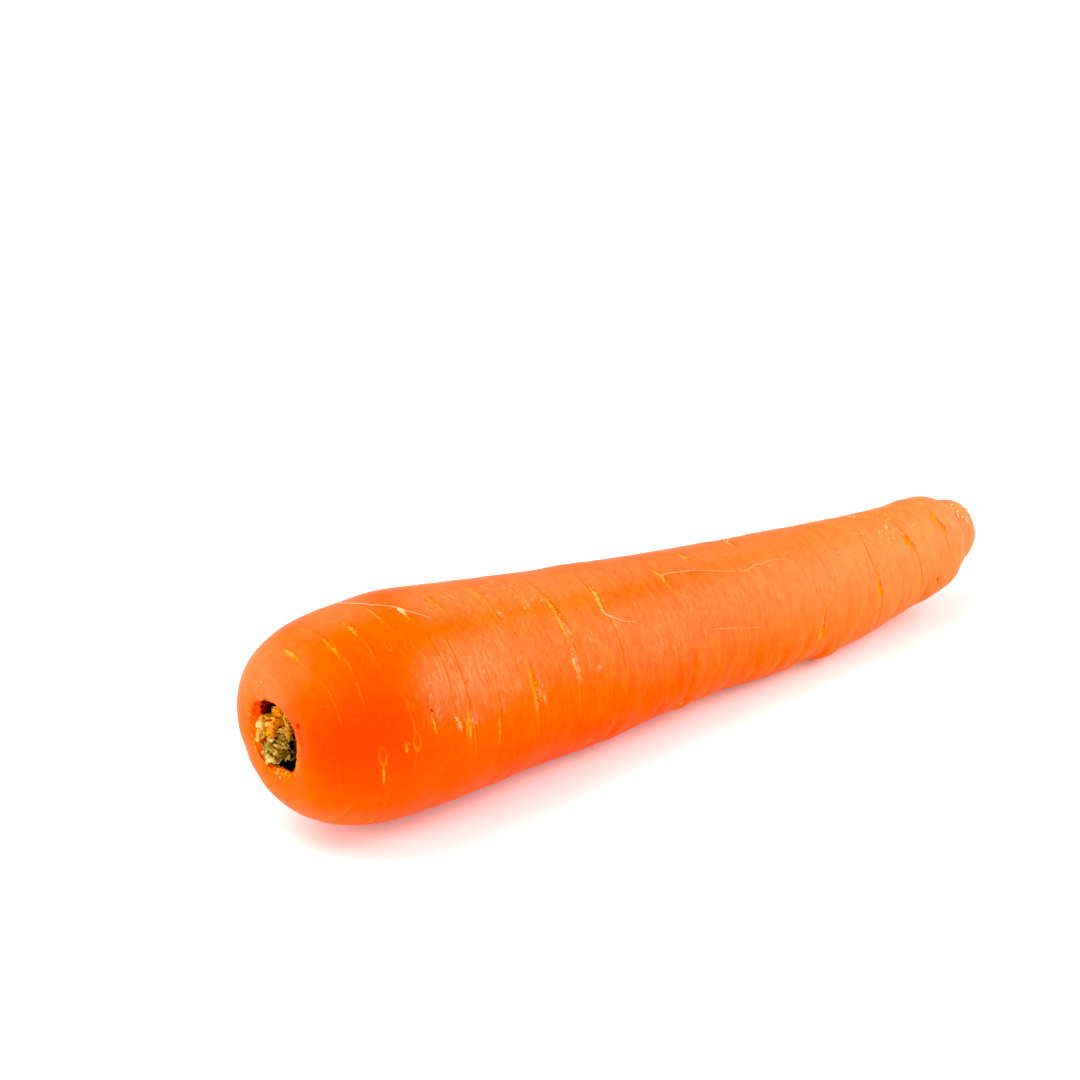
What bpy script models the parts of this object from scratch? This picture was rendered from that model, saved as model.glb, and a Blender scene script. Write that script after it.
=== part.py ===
"""A topped carrot that lies on its side.

One solid taproot with a socket in its crown, the torn bases of the leaf stalks that are left
in that socket, and the fine side rootlets on the skin. Units are metres and +Z is up. +X runs
along the root from the crown to the tail, and the root lies on z = 0. Angles round the root
start at +Y and turn towards +Z, so 90 degrees is its top.
"""

import math

import bmesh
import bpy

MM = 0.001

# ---------------------------------------------------------------------------
# Driving dimensions, in millimetres and degrees
# ---------------------------------------------------------------------------

LENGTH = 187.0              # crown to the end of the tail
CLEARANCE = 0.35            # between neighbouring pieces
MIDDLE_DISTANCE = 92.85     # the origin: the middle of the whole carrot
MIDDLE_SIDEWAYS = -0.27

# Taproot: radius along the root, as (distance from the crown, radius)
BODY_RADII = (
    (22.0, 21.9),
    (32.0, 22.0),
    (44.0, 20.8),
    (59.0, 19.6),
    (75.0, 18.6),
    (91.0, 17.3),
    (107.0, 16.2),
    (123.0, 15.3),
    (138.0, 14.3),
    (150.0, 13.5),
    (160.0, 12.4),
    (168.0, 11.6),
)
# Taproot: its middle, as (distance from the crown, sideways, height)
CENTRE_LINE = (
    (0.0, -1.6, 24.5),
    (12.0, -0.9, 23.7),
    (34.0, 0.0, 22.2),
    (70.0, 0.8, 18.8),
    (105.0, 0.8, 16.6),
    (140.0, 0.0, 14.2),
    (162.0, 0.0, 14.4),
    (187.0, -0.3, 17.0),
)
RESTING_DEPTH = 0.35        # how far the underside is pressed flat where it lies

# Taproot: the domed crown, and the blunt tail with the stub of the thin tail root
CROWN_LENGTH = 22.0
CROWN_START_RADIUS = 8.4
CROWN_BULGE = 1.7           # superellipse powers, along and across
CROWN_FULLNESS = 3.4
CROWN_FLATTENING = 1.0      # the shoulder is a little less full on top and below
CROWN_FLATTENING_REACH = 9.0
TAIL_BULGE = 2.1
TAIL_FULLNESS = 1.85
NUB_LENGTH = 6.6
NUB_RADIUS = 7.7
NUB_FULLNESS = 0.5

# Taproot: slow unevenness of the skin, as (height, waves along, waves round, phase)
UNEVENNESS = (
    (0.22, 2.3, 2, 0.4),
    (0.16, 4.1, 3, 1.9),
    (0.12, 7.3, 1, 3.1),
)

# Socket where the leaves stood
SOCKET_DEPTH = 8.0
SOCKET_HALF_WIDTH = 6.4
SOCKET_HALF_HEIGHT = 7.3
# its wall from the lip to the floor, as (share of the depth, share of the half width)
SOCKET_WALL = (
    (0.02, 1.13),
    (0.07, 1.03),
    (0.35, 0.99),
    (0.75, 0.95),
    (0.95, 0.88),
    (1.00, 0.78),
    (1.00, 0.35),
)

# Leaf stalk bases: two rings of crescents round a small heart
CLUSTER_SIDEWAYS = 0.6
CLUSTER_UP = 0.2
CLUSTER_STRETCH = 1.14      # the cluster is taller than it is wide, like the socket
STALK_FLARE = 0.10          # growth of a ring's radius from the floor to the top
OUTER_RING = (2.9, 4.6)     # inner and outer radius of the crescents
INNER_RING = (1.4, 2.5)
HEART_RADIUS = 1.0
HEART_HEIGHT = 6.2
HEART_OUTLINE = ((0.0, 1.0), (0.6, 1.0), (0.9, 0.75), (1.0, 0.35))  # (share of height, of radius)
# each base: (ring, first angle, last angle, height, slope of its torn top)
STALKS = (
    (OUTER_RING, -24.0, 30.0, 7.9, 0.5),
    (OUTER_RING, 39.0, 88.0, 6.8, -0.6),
    (OUTER_RING, 97.0, 148.0, 5.4, 0.5),
    (OUTER_RING, 157.0, 212.0, 4.8, -0.6),
    (OUTER_RING, 221.0, 268.0, 5.6, 0.6),
    (OUTER_RING, 277.0, 327.0, 7.4, -0.5),
    (INNER_RING, -30.0, 70.0, 7.2, 0.5),
    (INNER_RING, 90.0, 190.0, 6.0, -0.5),
    (INNER_RING, 210.0, 310.0, 6.7, 0.5),
)

# Side rootlets, each a path of (distance from the crown, angle round the root)
ROOTLET_RADIUS = 0.2
ROOTLETS = (
    ((23.0, 74.0), (24.5, 80.0), (26.5, 92.0), (28.0, 101.0), (32.0, 112.0)),
    ((74.0, 117.0), (73.5, 127.0), (74.5, 134.0), (77.0, 139.0), (80.0, 142.0)),
    ((93.0, 112.0), (96.0, 111.0), (100.0, 112.0), (106.0, 119.0), (111.0, 124.0)),
    ((113.5, 123.0), (117.5, 120.0), (122.0, 120.0), (127.5, 120.0)),
    ((118.0, 84.0), (123.0, 77.0), (128.0, 74.0), (132.0, 68.0)),
    ((99.5, 160.0), (104.0, 162.0), (109.0, 167.0), (114.0, 172.0)),
    ((130.5, 194.0), (130.0, 183.0), (131.5, 172.0), (131.0, 164.0)),
    ((63.0, 18.0), (66.0, 25.0), (71.0, 29.0), (77.0, 28.0)),
    ((141.0, -10.0), (142.0, 2.0), (145.0, 11.0), (150.0, 14.0)),
    ((40.0, 318.0), (41.0, 326.0), (44.0, 333.0), (48.0, 336.0)),
)

# Mesh density
AROUND = 48
DOME_RINGS = 11
BODY_RING_STEP = 6.0
TAIL_RINGS = 7
NUB_RINGS = 5
STALK_ARC_POINTS = 6
STALK_HEIGHTS = (0.0, 0.5, 1.0)
HEART_SIDES = 10
ROOTLET_POINTS = 14


# ---------------------------------------------------------------------------
# Curves through the driving dimensions
# ---------------------------------------------------------------------------

def along(table, column, at):
    """One column of a table at a distance between its rows, on a smooth curve."""
    last = len(table) - 1
    at = min(max(at, table[0][0]), table[last][0])
    row = 0
    while row < last - 1 and at > table[row + 1][0]:
        row += 1

    def slope(index):
        low = table[max(index - 1, 0)]
        high = table[min(index + 1, last)]
        return (high[column] - low[column]) / (high[0] - low[0])

    start = table[row]
    end = table[row + 1]
    width = end[0] - start[0]
    t = (at - start[0]) / width
    rise = 3 * t * t - 2 * t * t * t
    leave = t * (1 - t) * (1 - t) * width * slope(row)
    arrive = t * t * (t - 1) * width * slope(row + 1)
    return start[column] * (1 - rise) + end[column] * rise + leave + arrive


def root_profile():
    """Rings of the skin from the socket's lip to the tail, as (distance, radius)."""
    rings = []
    first_radius = BODY_RADII[0][1]
    for step in range(DOME_RINGS):
        a = math.pi / 2 * step / DOME_RINGS
        distance = CROWN_LENGTH * (1 - math.cos(a) ** (2 / CROWN_BULGE))
        swell = math.sin(a) ** (2 / CROWN_FULLNESS)
        radius = CROWN_START_RADIUS + (first_radius - CROWN_START_RADIUS) * swell
        rings.append((distance, radius))

    body_end = BODY_RADII[-1][0]
    steps = round((body_end - CROWN_LENGTH) / BODY_RING_STEP)
    for step in range(steps):
        distance = CROWN_LENGTH + (body_end - CROWN_LENGTH) * step / steps
        rings.append((distance, along(BODY_RADII, 1, distance)))

    last_radius = BODY_RADII[-1][1]
    nub_start = LENGTH - NUB_LENGTH
    for step in range(TAIL_RINGS):
        a = math.pi / 2 * step / TAIL_RINGS
        distance = body_end + (nub_start - body_end) * math.sin(a) ** (2 / TAIL_BULGE)
        shrink = math.cos(a) ** (2 / TAIL_FULLNESS)
        rings.append((distance, NUB_RADIUS + (last_radius - NUB_RADIUS) * shrink))

    for step in range(NUB_RINGS):
        a = math.pi / 2 * step / NUB_RINGS
        radius = NUB_RADIUS * math.cos(a) ** NUB_FULLNESS
        rings.append((nub_start + NUB_LENGTH * math.sin(a), radius))
    return rings


def skin_point(distance, radius, angle):
    """Point of the root's skin, in millimetres."""
    turn = math.radians(angle)
    fade = math.exp(-(distance / CROWN_FLATTENING_REACH) ** 2)
    radius -= CROWN_FLATTENING * fade * math.sin(turn) ** 2
    share = distance / LENGTH
    calm = min(1.0, distance / CROWN_LENGTH, (LENGTH - distance) / NUB_LENGTH)
    for height, waves_along, waves_round, phase in UNEVENNESS:
        wave = math.sin(2 * math.pi * waves_along * share + phase)
        radius += calm * height * wave * math.cos(waves_round * turn + phase)
    y = along(CENTRE_LINE, 1, distance) + radius * math.cos(turn)
    z = along(CENTRE_LINE, 2, distance) + radius * math.sin(turn)
    return (distance, y, max(z - RESTING_DEPTH, 0.0))


def skin_radius(distance):
    """Radius of the skin between the crown's dome and the tail."""
    return along(BODY_RADII, 1, distance)


def socket_point(depth, share, angle):
    """Point of the socket's wall, in millimetres."""
    turn = math.radians(angle)
    y = along(CENTRE_LINE, 1, depth) + share * SOCKET_HALF_WIDTH * math.cos(turn)
    z = along(CENTRE_LINE, 2, depth) + share * SOCKET_HALF_HEIGHT * math.sin(turn)
    return (depth, y, z - RESTING_DEPTH)


# ---------------------------------------------------------------------------
# Mesh helpers
# ---------------------------------------------------------------------------

def scaled(point):
    """A point in metres, measured from the origin."""
    distance, sideways, height = point
    return ((distance - MIDDLE_DISTANCE) * MM, (sideways - MIDDLE_SIDEWAYS) * MM, height * MM)


def loft(name, rings, material):
    """Closed body through rings of equally many points, with a fan at each end."""
    mesh = bpy.data.meshes.new(name)
    shape = bmesh.new()
    rows = [[shape.verts.new(scaled(point)) for point in ring] for ring in rings]
    for low, high in zip(rows, rows[1:]):
        for index in range(len(low)):
            after = (index + 1) % len(low)
            shape.faces.new((low[index], low[after], high[after], high[index]))
    for row in (rows[0], rows[-1]):
        close_with_fan(shape, row)
    bmesh.ops.recalc_face_normals(shape, faces=shape.faces)
    bmesh.ops.triangulate(shape, faces=[f for f in shape.faces if len(f.verts) > 3])
    shape.to_mesh(mesh)
    shape.free()
    mesh.shade_smooth()
    mesh.set_sharp_from_angle(angle=math.radians(50))
    mesh.materials.append(material)
    body = bpy.data.objects.new(name, mesh)
    bpy.context.scene.collection.objects.link(body)
    return body


def close_with_fan(shape, row):
    """Close an open ring with triangles to its middle."""
    middle = shape.verts.new([sum(v.co[i] for v in row) / len(row) for i in range(3)])
    for index in range(len(row)):
        shape.faces.new((row[index], row[(index + 1) % len(row)], middle))


def principled(name, colour, roughness):
    """Plain material with a colour and a roughness."""
    material = bpy.data.materials.new(name)
    material.use_nodes = True
    shader = material.node_tree.nodes["Principled BSDF"]
    shader.inputs["Base Color"].default_value = (*colour, 1.0)
    shader.inputs["Roughness"].default_value = roughness
    shader.inputs["Metallic"].default_value = 0.0
    material.diffuse_color = (*colour, 1.0)
    return material


# ---------------------------------------------------------------------------
# The pieces
# ---------------------------------------------------------------------------

def make_root():
    """Taproot: socket floor, socket wall, domed crown, body and blunt tail."""
    angles = [360.0 * index / AROUND for index in range(AROUND)]
    rings = []
    for depth_share, width_share in reversed(SOCKET_WALL):
        depth = SOCKET_DEPTH * depth_share
        rings.append([socket_point(depth, width_share, angle) for angle in angles])
    for distance, radius in root_profile():
        rings.append([skin_point(distance, radius, angle) for angle in angles])
    skin = principled("carrot_skin", (1.0, 0.16, 0.012), 0.38)
    return loft("root", rings, skin)


def cluster_point(height, sideways, up):
    """Point above the socket's floor, in millimetres."""
    depth = SOCKET_DEPTH - CLEARANCE - height
    y = along(CENTRE_LINE, 1, depth) + CLUSTER_SIDEWAYS + sideways
    z = along(CENTRE_LINE, 2, depth) + CLUSTER_UP + up * CLUSTER_STRETCH
    return (depth, y, z - RESTING_DEPTH)


def stalk_outline(ring, first, last, grow):
    """Crescent of a leaf stalk base, as (sideways, up) from the cluster's middle."""
    inner, outer = ring
    steps = range(STALK_ARC_POINTS)
    turns = [math.radians(first + (last - first) * i / (STALK_ARC_POINTS - 1)) for i in steps]
    out = [(outer * grow * math.cos(turn), outer * grow * math.sin(turn)) for turn in turns]
    back = [(inner * grow * math.cos(turn), inner * grow * math.sin(turn)) for turn in turns]
    return out + back[::-1]


def make_leaf_stub(name, stalk, material):
    """One torn leaf stalk base: a crescent that leans out as it rises."""
    radii, first, last, height, slope = stalk
    rings = []
    for share in STALK_HEIGHTS:
        ring = []
        for sideways, up in stalk_outline(radii, first, last, 1 + STALK_FLARE * share):
            tear = slope * share * (sideways + up) / radii[1]
            ring.append(cluster_point(height * share + tear, sideways, up))
        rings.append(ring)
    return loft(name, rings, material)


def make_heart(name, material):
    """The small heart in the middle of the leaf stalk bases."""
    rings = []
    for share, width in HEART_OUTLINE:
        ring = []
        for index in range(HEART_SIDES):
            turn = 2 * math.pi * index / HEART_SIDES
            sideways = HEART_RADIUS * width * math.cos(turn)
            up = HEART_RADIUS * width * math.sin(turn)
            ring.append(cluster_point(HEART_HEIGHT * share, sideways, up))
        rings.append(ring)
    return loft(name, rings, material)


def make_leaf_stubs():
    """The two rings of torn leaf stalk bases and the heart inside them."""
    material = principled("leaf_stalk", (0.36, 0.29, 0.05), 0.6)
    for index, stalk in enumerate(STALKS, start=1):
        make_leaf_stub(f"leaf_stub_{index}", stalk, material)
    make_heart(f"leaf_stub_{len(STALKS) + 1}", material)


def rootlet_path(path):
    """Points of a rootlet's middle, just clear of the skin, in millimetres."""
    table = [(index, distance, angle) for index, (distance, angle) in enumerate(path)]
    points = []
    for step in range(ROOTLET_POINTS):
        at = (len(path) - 1) * step / (ROOTLET_POINTS - 1)
        distance = along(table, 1, at)
        reach = skin_radius(distance) + 2 * CLEARANCE + ROOTLET_RADIUS
        points.append(skin_point(distance, reach, along(table, 2, at)))
    return points


def make_rootlets():
    """The fine side rootlets, each a thin tube along the skin."""
    pale = principled("rootlet", (0.95, 0.62, 0.30), 0.55)
    for index, path in enumerate(ROOTLETS, start=1):
        name = f"rootlet_{index}"
        curve = bpy.data.curves.new(name, "CURVE")
        curve.dimensions = "3D"
        curve.bevel_depth = ROOTLET_RADIUS * MM
        curve.bevel_resolution = 1
        curve.use_fill_caps = True
        line = curve.splines.new("POLY")
        points = rootlet_path(path)
        line.points.add(len(points) - 1)
        for target, point in zip(line.points, points):
            target.co = (*scaled(point), 1.0)
        curve.materials.append(pale)
        rootlet = bpy.data.objects.new(name, curve)
        bpy.context.scene.collection.objects.link(rootlet)


def main():
    for old in list(bpy.data.objects):
        bpy.data.objects.remove(old, do_unlink=True)
    make_root()
    make_leaf_stubs()
    make_rootlets()


main()
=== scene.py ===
"""Looks of the topped carrot: skin, torn leaf stalk bases and fine rootlets, in a plain studio.

Lengths named below are in millimetres and angles in degrees, until they become mesh points in
metres. Studio lengths are in metres. +X runs from the crown to the tail. Angles round the root
start at +Y and turn towards +Z, so 90 is its top and 180 is the side that the camera faces.
A distance is measured along +X from the lip of the socket in the crown.
"""

import math

import bpy
import numpy as np
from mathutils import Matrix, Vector


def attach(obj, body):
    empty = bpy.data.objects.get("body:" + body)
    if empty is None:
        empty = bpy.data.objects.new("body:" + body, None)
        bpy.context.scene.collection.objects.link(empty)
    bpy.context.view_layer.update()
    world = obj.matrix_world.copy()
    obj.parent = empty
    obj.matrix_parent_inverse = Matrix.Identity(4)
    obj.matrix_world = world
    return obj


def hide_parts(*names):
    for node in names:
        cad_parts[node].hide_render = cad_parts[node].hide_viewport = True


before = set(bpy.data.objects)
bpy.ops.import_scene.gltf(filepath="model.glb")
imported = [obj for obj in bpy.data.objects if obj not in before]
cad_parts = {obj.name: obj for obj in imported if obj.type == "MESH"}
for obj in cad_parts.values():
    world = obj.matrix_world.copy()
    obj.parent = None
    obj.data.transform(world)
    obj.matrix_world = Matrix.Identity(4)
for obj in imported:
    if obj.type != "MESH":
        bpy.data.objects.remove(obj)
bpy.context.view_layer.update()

MM = 0.001

# ---------------------------------------------------------------------------
# Driving dimensions of the root, as the CAD model has them
# ---------------------------------------------------------------------------

LENGTH = 187.0
# (distance, radius)
BODY_RADII = (
    (22.0, 21.9), (32.0, 22.0), (44.0, 20.8), (59.0, 19.6), (75.0, 18.6), (91.0, 17.3),
    (107.0, 16.2), (123.0, 15.3), (138.0, 14.3), (150.0, 13.5), (160.0, 12.4), (168.0, 11.6),
)
# (distance, sideways, up)
CENTRE_LINE = (
    (0.0, -1.6, 24.5), (12.0, -0.9, 23.7), (34.0, 0.0, 22.2), (70.0, 0.8, 18.8),
    (105.0, 0.8, 16.6), (140.0, 0.0, 14.2), (162.0, 0.0, 14.4), (187.0, -0.3, 17.0),
)
RESTING_DEPTH = 0.35
CROWN_LENGTH = 22.0
CROWN_START_RADIUS = 8.4
CROWN_BULGE = 1.7
CROWN_FULLNESS = 3.4
CROWN_FLATTENING = 1.0
CROWN_FLATTENING_REACH = 9.0
TAIL_BULGE = 2.1
TAIL_FULLNESS = 1.85
NUB_LENGTH = 6.6
NUB_RADIUS = 7.7
NUB_FULLNESS = 0.5
# (height, waves along, waves round, phase)
UNEVENNESS = (
    (0.22, 2.3, 2, 0.4), (0.16, 4.1, 3, 1.9), (0.12, 7.3, 1, 3.1),
)
SOCKET_DEPTH = 8.0
SOCKET_HALF_WIDTH = 6.4
SOCKET_HALF_HEIGHT = 7.3
# from the lip to the floor: (share of the depth, share of the width)
SOCKET_WALL = (
    (0.02, 1.13), (0.07, 1.03), (0.35, 0.99), (0.75, 0.95), (0.95, 0.88), (1.0, 0.78),
    (1.0, 0.35),
)
CLUSTER_SIDEWAYS = 0.6
CLUSTER_UP = 0.2
CLUSTER_STRETCH = 1.14
STALK_FLARE = 0.10
OUTER_RING = (2.9, 4.6)
INNER_RING = (1.4, 2.5)
HEART_RADIUS = 1.0
HEART_HEIGHT = 6.2
CLUSTER_CLEARANCE = 0.35
# (inner and outer radius, first angle, last angle, height, slope of the top)
STALKS = (
    (OUTER_RING, -24.0, 30.0, 7.9, 0.5),
    (OUTER_RING, 39.0, 88.0, 6.8, -0.6),
    (OUTER_RING, 97.0, 148.0, 5.4, 0.5),
    (OUTER_RING, 157.0, 212.0, 4.8, -0.6),
    (OUTER_RING, 221.0, 268.0, 5.6, 0.6),
    (OUTER_RING, 277.0, 327.0, 7.4, -0.5),
    (INNER_RING, -30.0, 70.0, 7.2, 0.5),
    (INNER_RING, 90.0, 190.0, 6.0, -0.5),
    (INNER_RING, 210.0, 310.0, 6.7, 0.5),
)
HEART = ((0.15, HEART_RADIUS), 0.0, 330.0, HEART_HEIGHT, 0.3)
# each a path of (distance, angle)
ROOTLETS = (
    (
        (21.6, 69.0), (22.0, 73.5), (22.6, 78.0), (24.3, 86.7), (25.8, 92.0),
        (27.8, 96.9), (29.3, 103.9), (30.8, 108.8), (32.1, 111.2),
    ),
    ((72.9, 127.3), (73.4, 132.2), (74.8, 135.7), (77.3, 139.2), (79.9, 141.0)),
    (
        (92.7, 111.6), (94.6, 111.2), (96.4, 111.6), (99.8, 112.6), (103.2, 114.4),
        (106.8, 117.9), (111.2, 122.1),
    ),
    (
        (112.1, 122.8), (114.2, 123.5), (115.7, 121.7), (117.3, 120.3), (119.2, 120.7),
        (121.4, 118.9), (123.8, 118.6), (126.9, 120.3),
    ),
    ((118.0, 84.0), (119.6, 78.0), (121.6, 72.5), (124.4, 71.5), (127.2, 72.0), (132.0, 70.0)),
    ((98.4, 159.5), (102.8, 162.0), (107.9, 165.8), (112.3, 169.0), (114.6, 171.4)),
    ((130.4, 196.0), (130.7, 189.0), (130.8, 183.0), (131.6, 175.0), (131.9, 168.0)),
    ((63.0, 18.0), (66.0, 25.0), (71.0, 29.0), (77.0, 28.0)),
    ((141.0, -10.0), (142.0, 2.0), (145.0, 11.0), (150.0, 14.0)),
    ((40.0, 318.0), (41.0, 326.0), (44.0, 333.0), (48.0, 336.0)),
)

# The frame's origin, in millimetres from the socket's lip
MIDDLE_SIDEWAYS = -0.27
MIDDLE_DISTANCE = 92.85

# ---------------------------------------------------------------------------
# Marks on the skin
# ---------------------------------------------------------------------------

# Long thin scars: (path of (distance, angle), half width, paleness, raggedness, depth)
LINES = (
    (((4.2, 82), (4.0, 100)), 0.3, 0.4, 0.8, 0.1),
    (((9.7, 98), (9.9, 104), (9.8, 118)), 0.22, 0.35, 0.6, 0.1),
    (((15.4, 93), (15.8, 99), (15.5, 110)), 0.26, 0.35, 0.9, 0.12),
    (((22.7, 88), (22.8, 96), (22.4, 106)), 0.22, 0.3, 0.9, 0.1),
    (((27.8, 94), (28.1, 100), (27.8, 110)), 0.3, 0.75, 0.8, 0.12),
    (((35.6, 91), (36.0, 101), (36.2, 111)), 0.3, 0.35, 0.6, 0.14),
    (((47.6, 87), (47.1, 98), (46.8, 106)), 0.26, 0.3, 0.7, 0.12),
    (((10.8, 180), (11.2, 194)), 0.2, 0.45, 0.3, 0.08),
    (((15.9, 170), (15.8, 177)), 0.24, 0.45, 1.0, 0.08),
    (((22.3, 161), (22.8, 171)), 0.26, 0.5, 0.9, 0.1),
    (((27.4, 164), (28.5, 169), (28.7, 174)), 0.24, 0.8, 1.0, 0.04),
    (((50.6, 168), (51.6, 172)), 0.3, 0.6, 1.3, 0.03),
    (((31.1, 161), (30.8, 170), (31.0, 175), (30.7, 182)), 0.42, 0.45, 0.7, 0.22),
    (((38.8, 172), (38.9, 189)), 0.2, 0.4, 0.5, 0.14),
    (((48.9, 146), (48.7, 158), (48.8, 168), (49.1, 179)), 0.42, 0.4, 0.8, 0.22),
    (((61.9, 109), (61.4, 125), (61.1, 136), (61.1, 146)), 0.38, 0.5, 0.8, 0.25),
    (((60.9, 149), (60.6, 153), (61.1, 161), (61.5, 168)), 0.26, 0.85, 1.3, 0.12),
    (((73.9, 109), (73.6, 118), (72.9, 128), (73.2, 134)), 0.34, 0.8, 0.5, 0.2),
    (((92.5, 103), (93.0, 112), (92.8, 124)), 0.3, 0.45, 0.6, 0.2),
    (((103.2, 87), (103.3, 102)), 0.3, 0.6, 0.5, 0.15),
    (((120.0, 72), (118.4, 80), (117.8, 92)), 0.28, 0.65, 0.5, 0.15),
    (((92.8, 214), (92.8, 222)), 0.35, 0.4, 0.5, 0.1),
    (((132.0, 167), (131.0, 183), (130.4, 196)), 0.24, 0.45, 0.4, 0.16),
    (((149.3, 142), (148.9, 160), (148.9, 182)), 0.16, 0.35, 0.5, 0.14),
    (((161.2, 127), (161.3, 135), (161.8, 145)), 0.36, 0.3, 0.5, 0.3),
    (((171.3, 113), (171.6, 128), (172.3, 135), (172.6, 148)), 0.42, 0.3, 0.6, 0.34),
    (((168.6, 186), (168.4, 196)), 0.28, 0.2, 0.5, 0.25),
    (((162.4, 172), (163.3, 188)), 0.18, 0.35, 0.4, 0.1),
    (((13.0, 228), (13.2, 240)), 0.26, 0.4, 0.8, 0.12),
    (((26.5, 250), (26.3, 264)), 0.28, 0.45, 0.8, 0.15),
    (((43.5, 232), (43.8, 246)), 0.25, 0.4, 0.7, 0.14),
    (((68.0, 238), (68.4, 256)), 0.34, 0.45, 0.8, 0.2),
    (((84.3, 262), (84.0, 275)), 0.28, 0.45, 0.7, 0.15),
    (((112.5, 240), (112.9, 258)), 0.28, 0.45, 0.7, 0.18),
    (((140.2, 246), (140.6, 262)), 0.26, 0.4, 0.6, 0.2),
    (((8.3, -20), (8.1, -6)), 0.26, 0.4, 0.8, 0.12),
    (((12.5, 38), (12.8, 50)), 0.3, 0.4, 0.8, 0.14),
    (((20.5, 12), (20.2, 28)), 0.32, 0.45, 0.8, 0.18),
    (((31.5, -38), (31.9, -22)), 0.3, 0.5, 0.8, 0.16),
    (((39.9, -43), (40.2, -34)), 0.28, 0.6, 0.8, 0.16),
    (((41.5, 40), (41.2, 56)), 0.28, 0.4, 0.8, 0.16),
    (((54.6, 2), (55.0, 22)), 0.38, 0.5, 0.9, 0.22),
    (((62.8, 12), (63.1, 24)), 0.28, 0.6, 0.7, 0.18),
    (((79.0, 44), (79.4, 60)), 0.3, 0.45, 0.8, 0.2),
    (((82.6, -36), (83.0, -18)), 0.3, 0.45, 0.8, 0.2),
    (((97.2, 6), (97.6, 24)), 0.32, 0.55, 0.9, 0.22),
    (((110.2, -30), (110.0, -16)), 0.26, 0.45, 0.7, 0.18),
    (((124.4, 22), (124.8, 38)), 0.28, 0.45, 0.7, 0.2),
    (((136.4, -40), (136.8, -24)), 0.28, 0.45, 0.7, 0.22),
    (((140.9, -16), (141.3, -2)), 0.3, 0.6, 0.7, 0.22),
    (((152.8, 34), (153.2, 52)), 0.28, 0.4, 0.7, 0.24),
    (((164.0, -12), (164.4, 6)), 0.3, 0.4, 0.7, 0.26),
)

# Oval scars: (distance, angle, half length, half width, filling, paleness, depth)
EYES = (
    (4.0, 96.5, 1.0, 0.55, 0.7, 0.35, 0.12), (9.9, 106.5, 1.3, 0.75, 0.1, 0.3, 0.15),
    (15.8, 98.0, 0.9, 0.55, 0.3, 0.3, 0.12), (19.5, 120.5, 1.2, 0.5, 0.2, 0.25, 0.1),
    (23.5, 124.2, 1.0, 0.9, 0.0, 0.1, 0.05), (28.1, 100.5, 0.9, 0.6, 1.0, 1.0, -0.1),
    (36.0, 100.5, 1.5, 0.65, 0.2, 0.4, 0.15), (10.9, 175.5, 2.0, 0.8, 0.15, 0.35, 0.15),
    (18.2, 171.5, 1.9, 0.8, 0.1, 0.4, 0.15), (31.0, 171.5, 1.2, 0.6, 0.8, 0.35, 0.2),
    (48.8, 161.5, 1.3, 0.75, 0.8, 0.35, 0.2), (130.8, 190.5, 1.6, 0.75, 0.84, 0.45, 0.3),
    (148.7, 168.0, 1.6, 0.8, 0.84, 0.45, 0.3), (161.3, 135.5, 1.5, 0.7, 0.84, 0.45, 0.28),
    (171.7, 121.0, 1.3, 0.6, 0.82, 0.45, 0.24), (20.4, 19.0, 1.2, 0.6, 0.3, 0.35, 0.18),
    (55.0, 12.0, 1.4, 0.65, 0.4, 0.4, 0.2), (97.5, 14.0, 1.3, 0.6, 0.4, 0.4, 0.2),
    (68.2, 246.0, 1.3, 0.6, 0.4, 0.35, 0.18), (141.0, -9.0, 1.2, 0.55, 0.4, 0.35, 0.22),
    (31.8, -29.0, 1.2, 0.55, 0.3, 0.35, 0.18),
)

# Small dark specks: (distance, angle, half length, half width, darkness from red to brown)
DOTS = (
    (0.011, 142.7, 0.7, 0.8, 0.5), (22.5, 158.5, 0.38, 0.3, 1.0),
    (168.5, 190.5, 0.6, 0.26, 1.0), (57.6, 34.0, 0.3, 0.26, 1.0),
    (104.0, 246.0, 0.32, 0.25, 0.8),
)

# Rough pinkish scrapes: (distance, angle, half length, half width, strength)
SCRAPES = (
    (61.1, 158.0, 3.6, 0.8, 1.0), (61.9, 137.0, 2.6, 0.6, 0.6), (50.4, 163.0, 2.0, 1.0, 0.8),
    (32.2, 169.0, 2.0, 1.2, 0.6), (28.4, 170.0, 1.5, 0.6, 0.8), (51.4, 171.0, 1.4, 0.6, 0.9),
    (66.5, 161.5, 0.9, 0.6, 0.7), (24.0, 160.5, 1.4, 0.9, 0.5), (45.0, 158.0, 2.4, 1.2, 0.4),
    (40.2, 167.0, 1.8, 0.5, 0.5), (74.3, 137.0, 1.8, 0.5, 0.5), (56.4, 112.0, 2.2, 0.8, 0.5),
    (48.6, 117.0, 1.6, 0.7, 0.4), (55.6, 20.0, 2.0, 0.7, 0.6), (97.0, 18.0, 1.8, 0.6, 0.6),
    (69.0, 250.0, 2.0, 0.7, 0.6),
)

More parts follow.
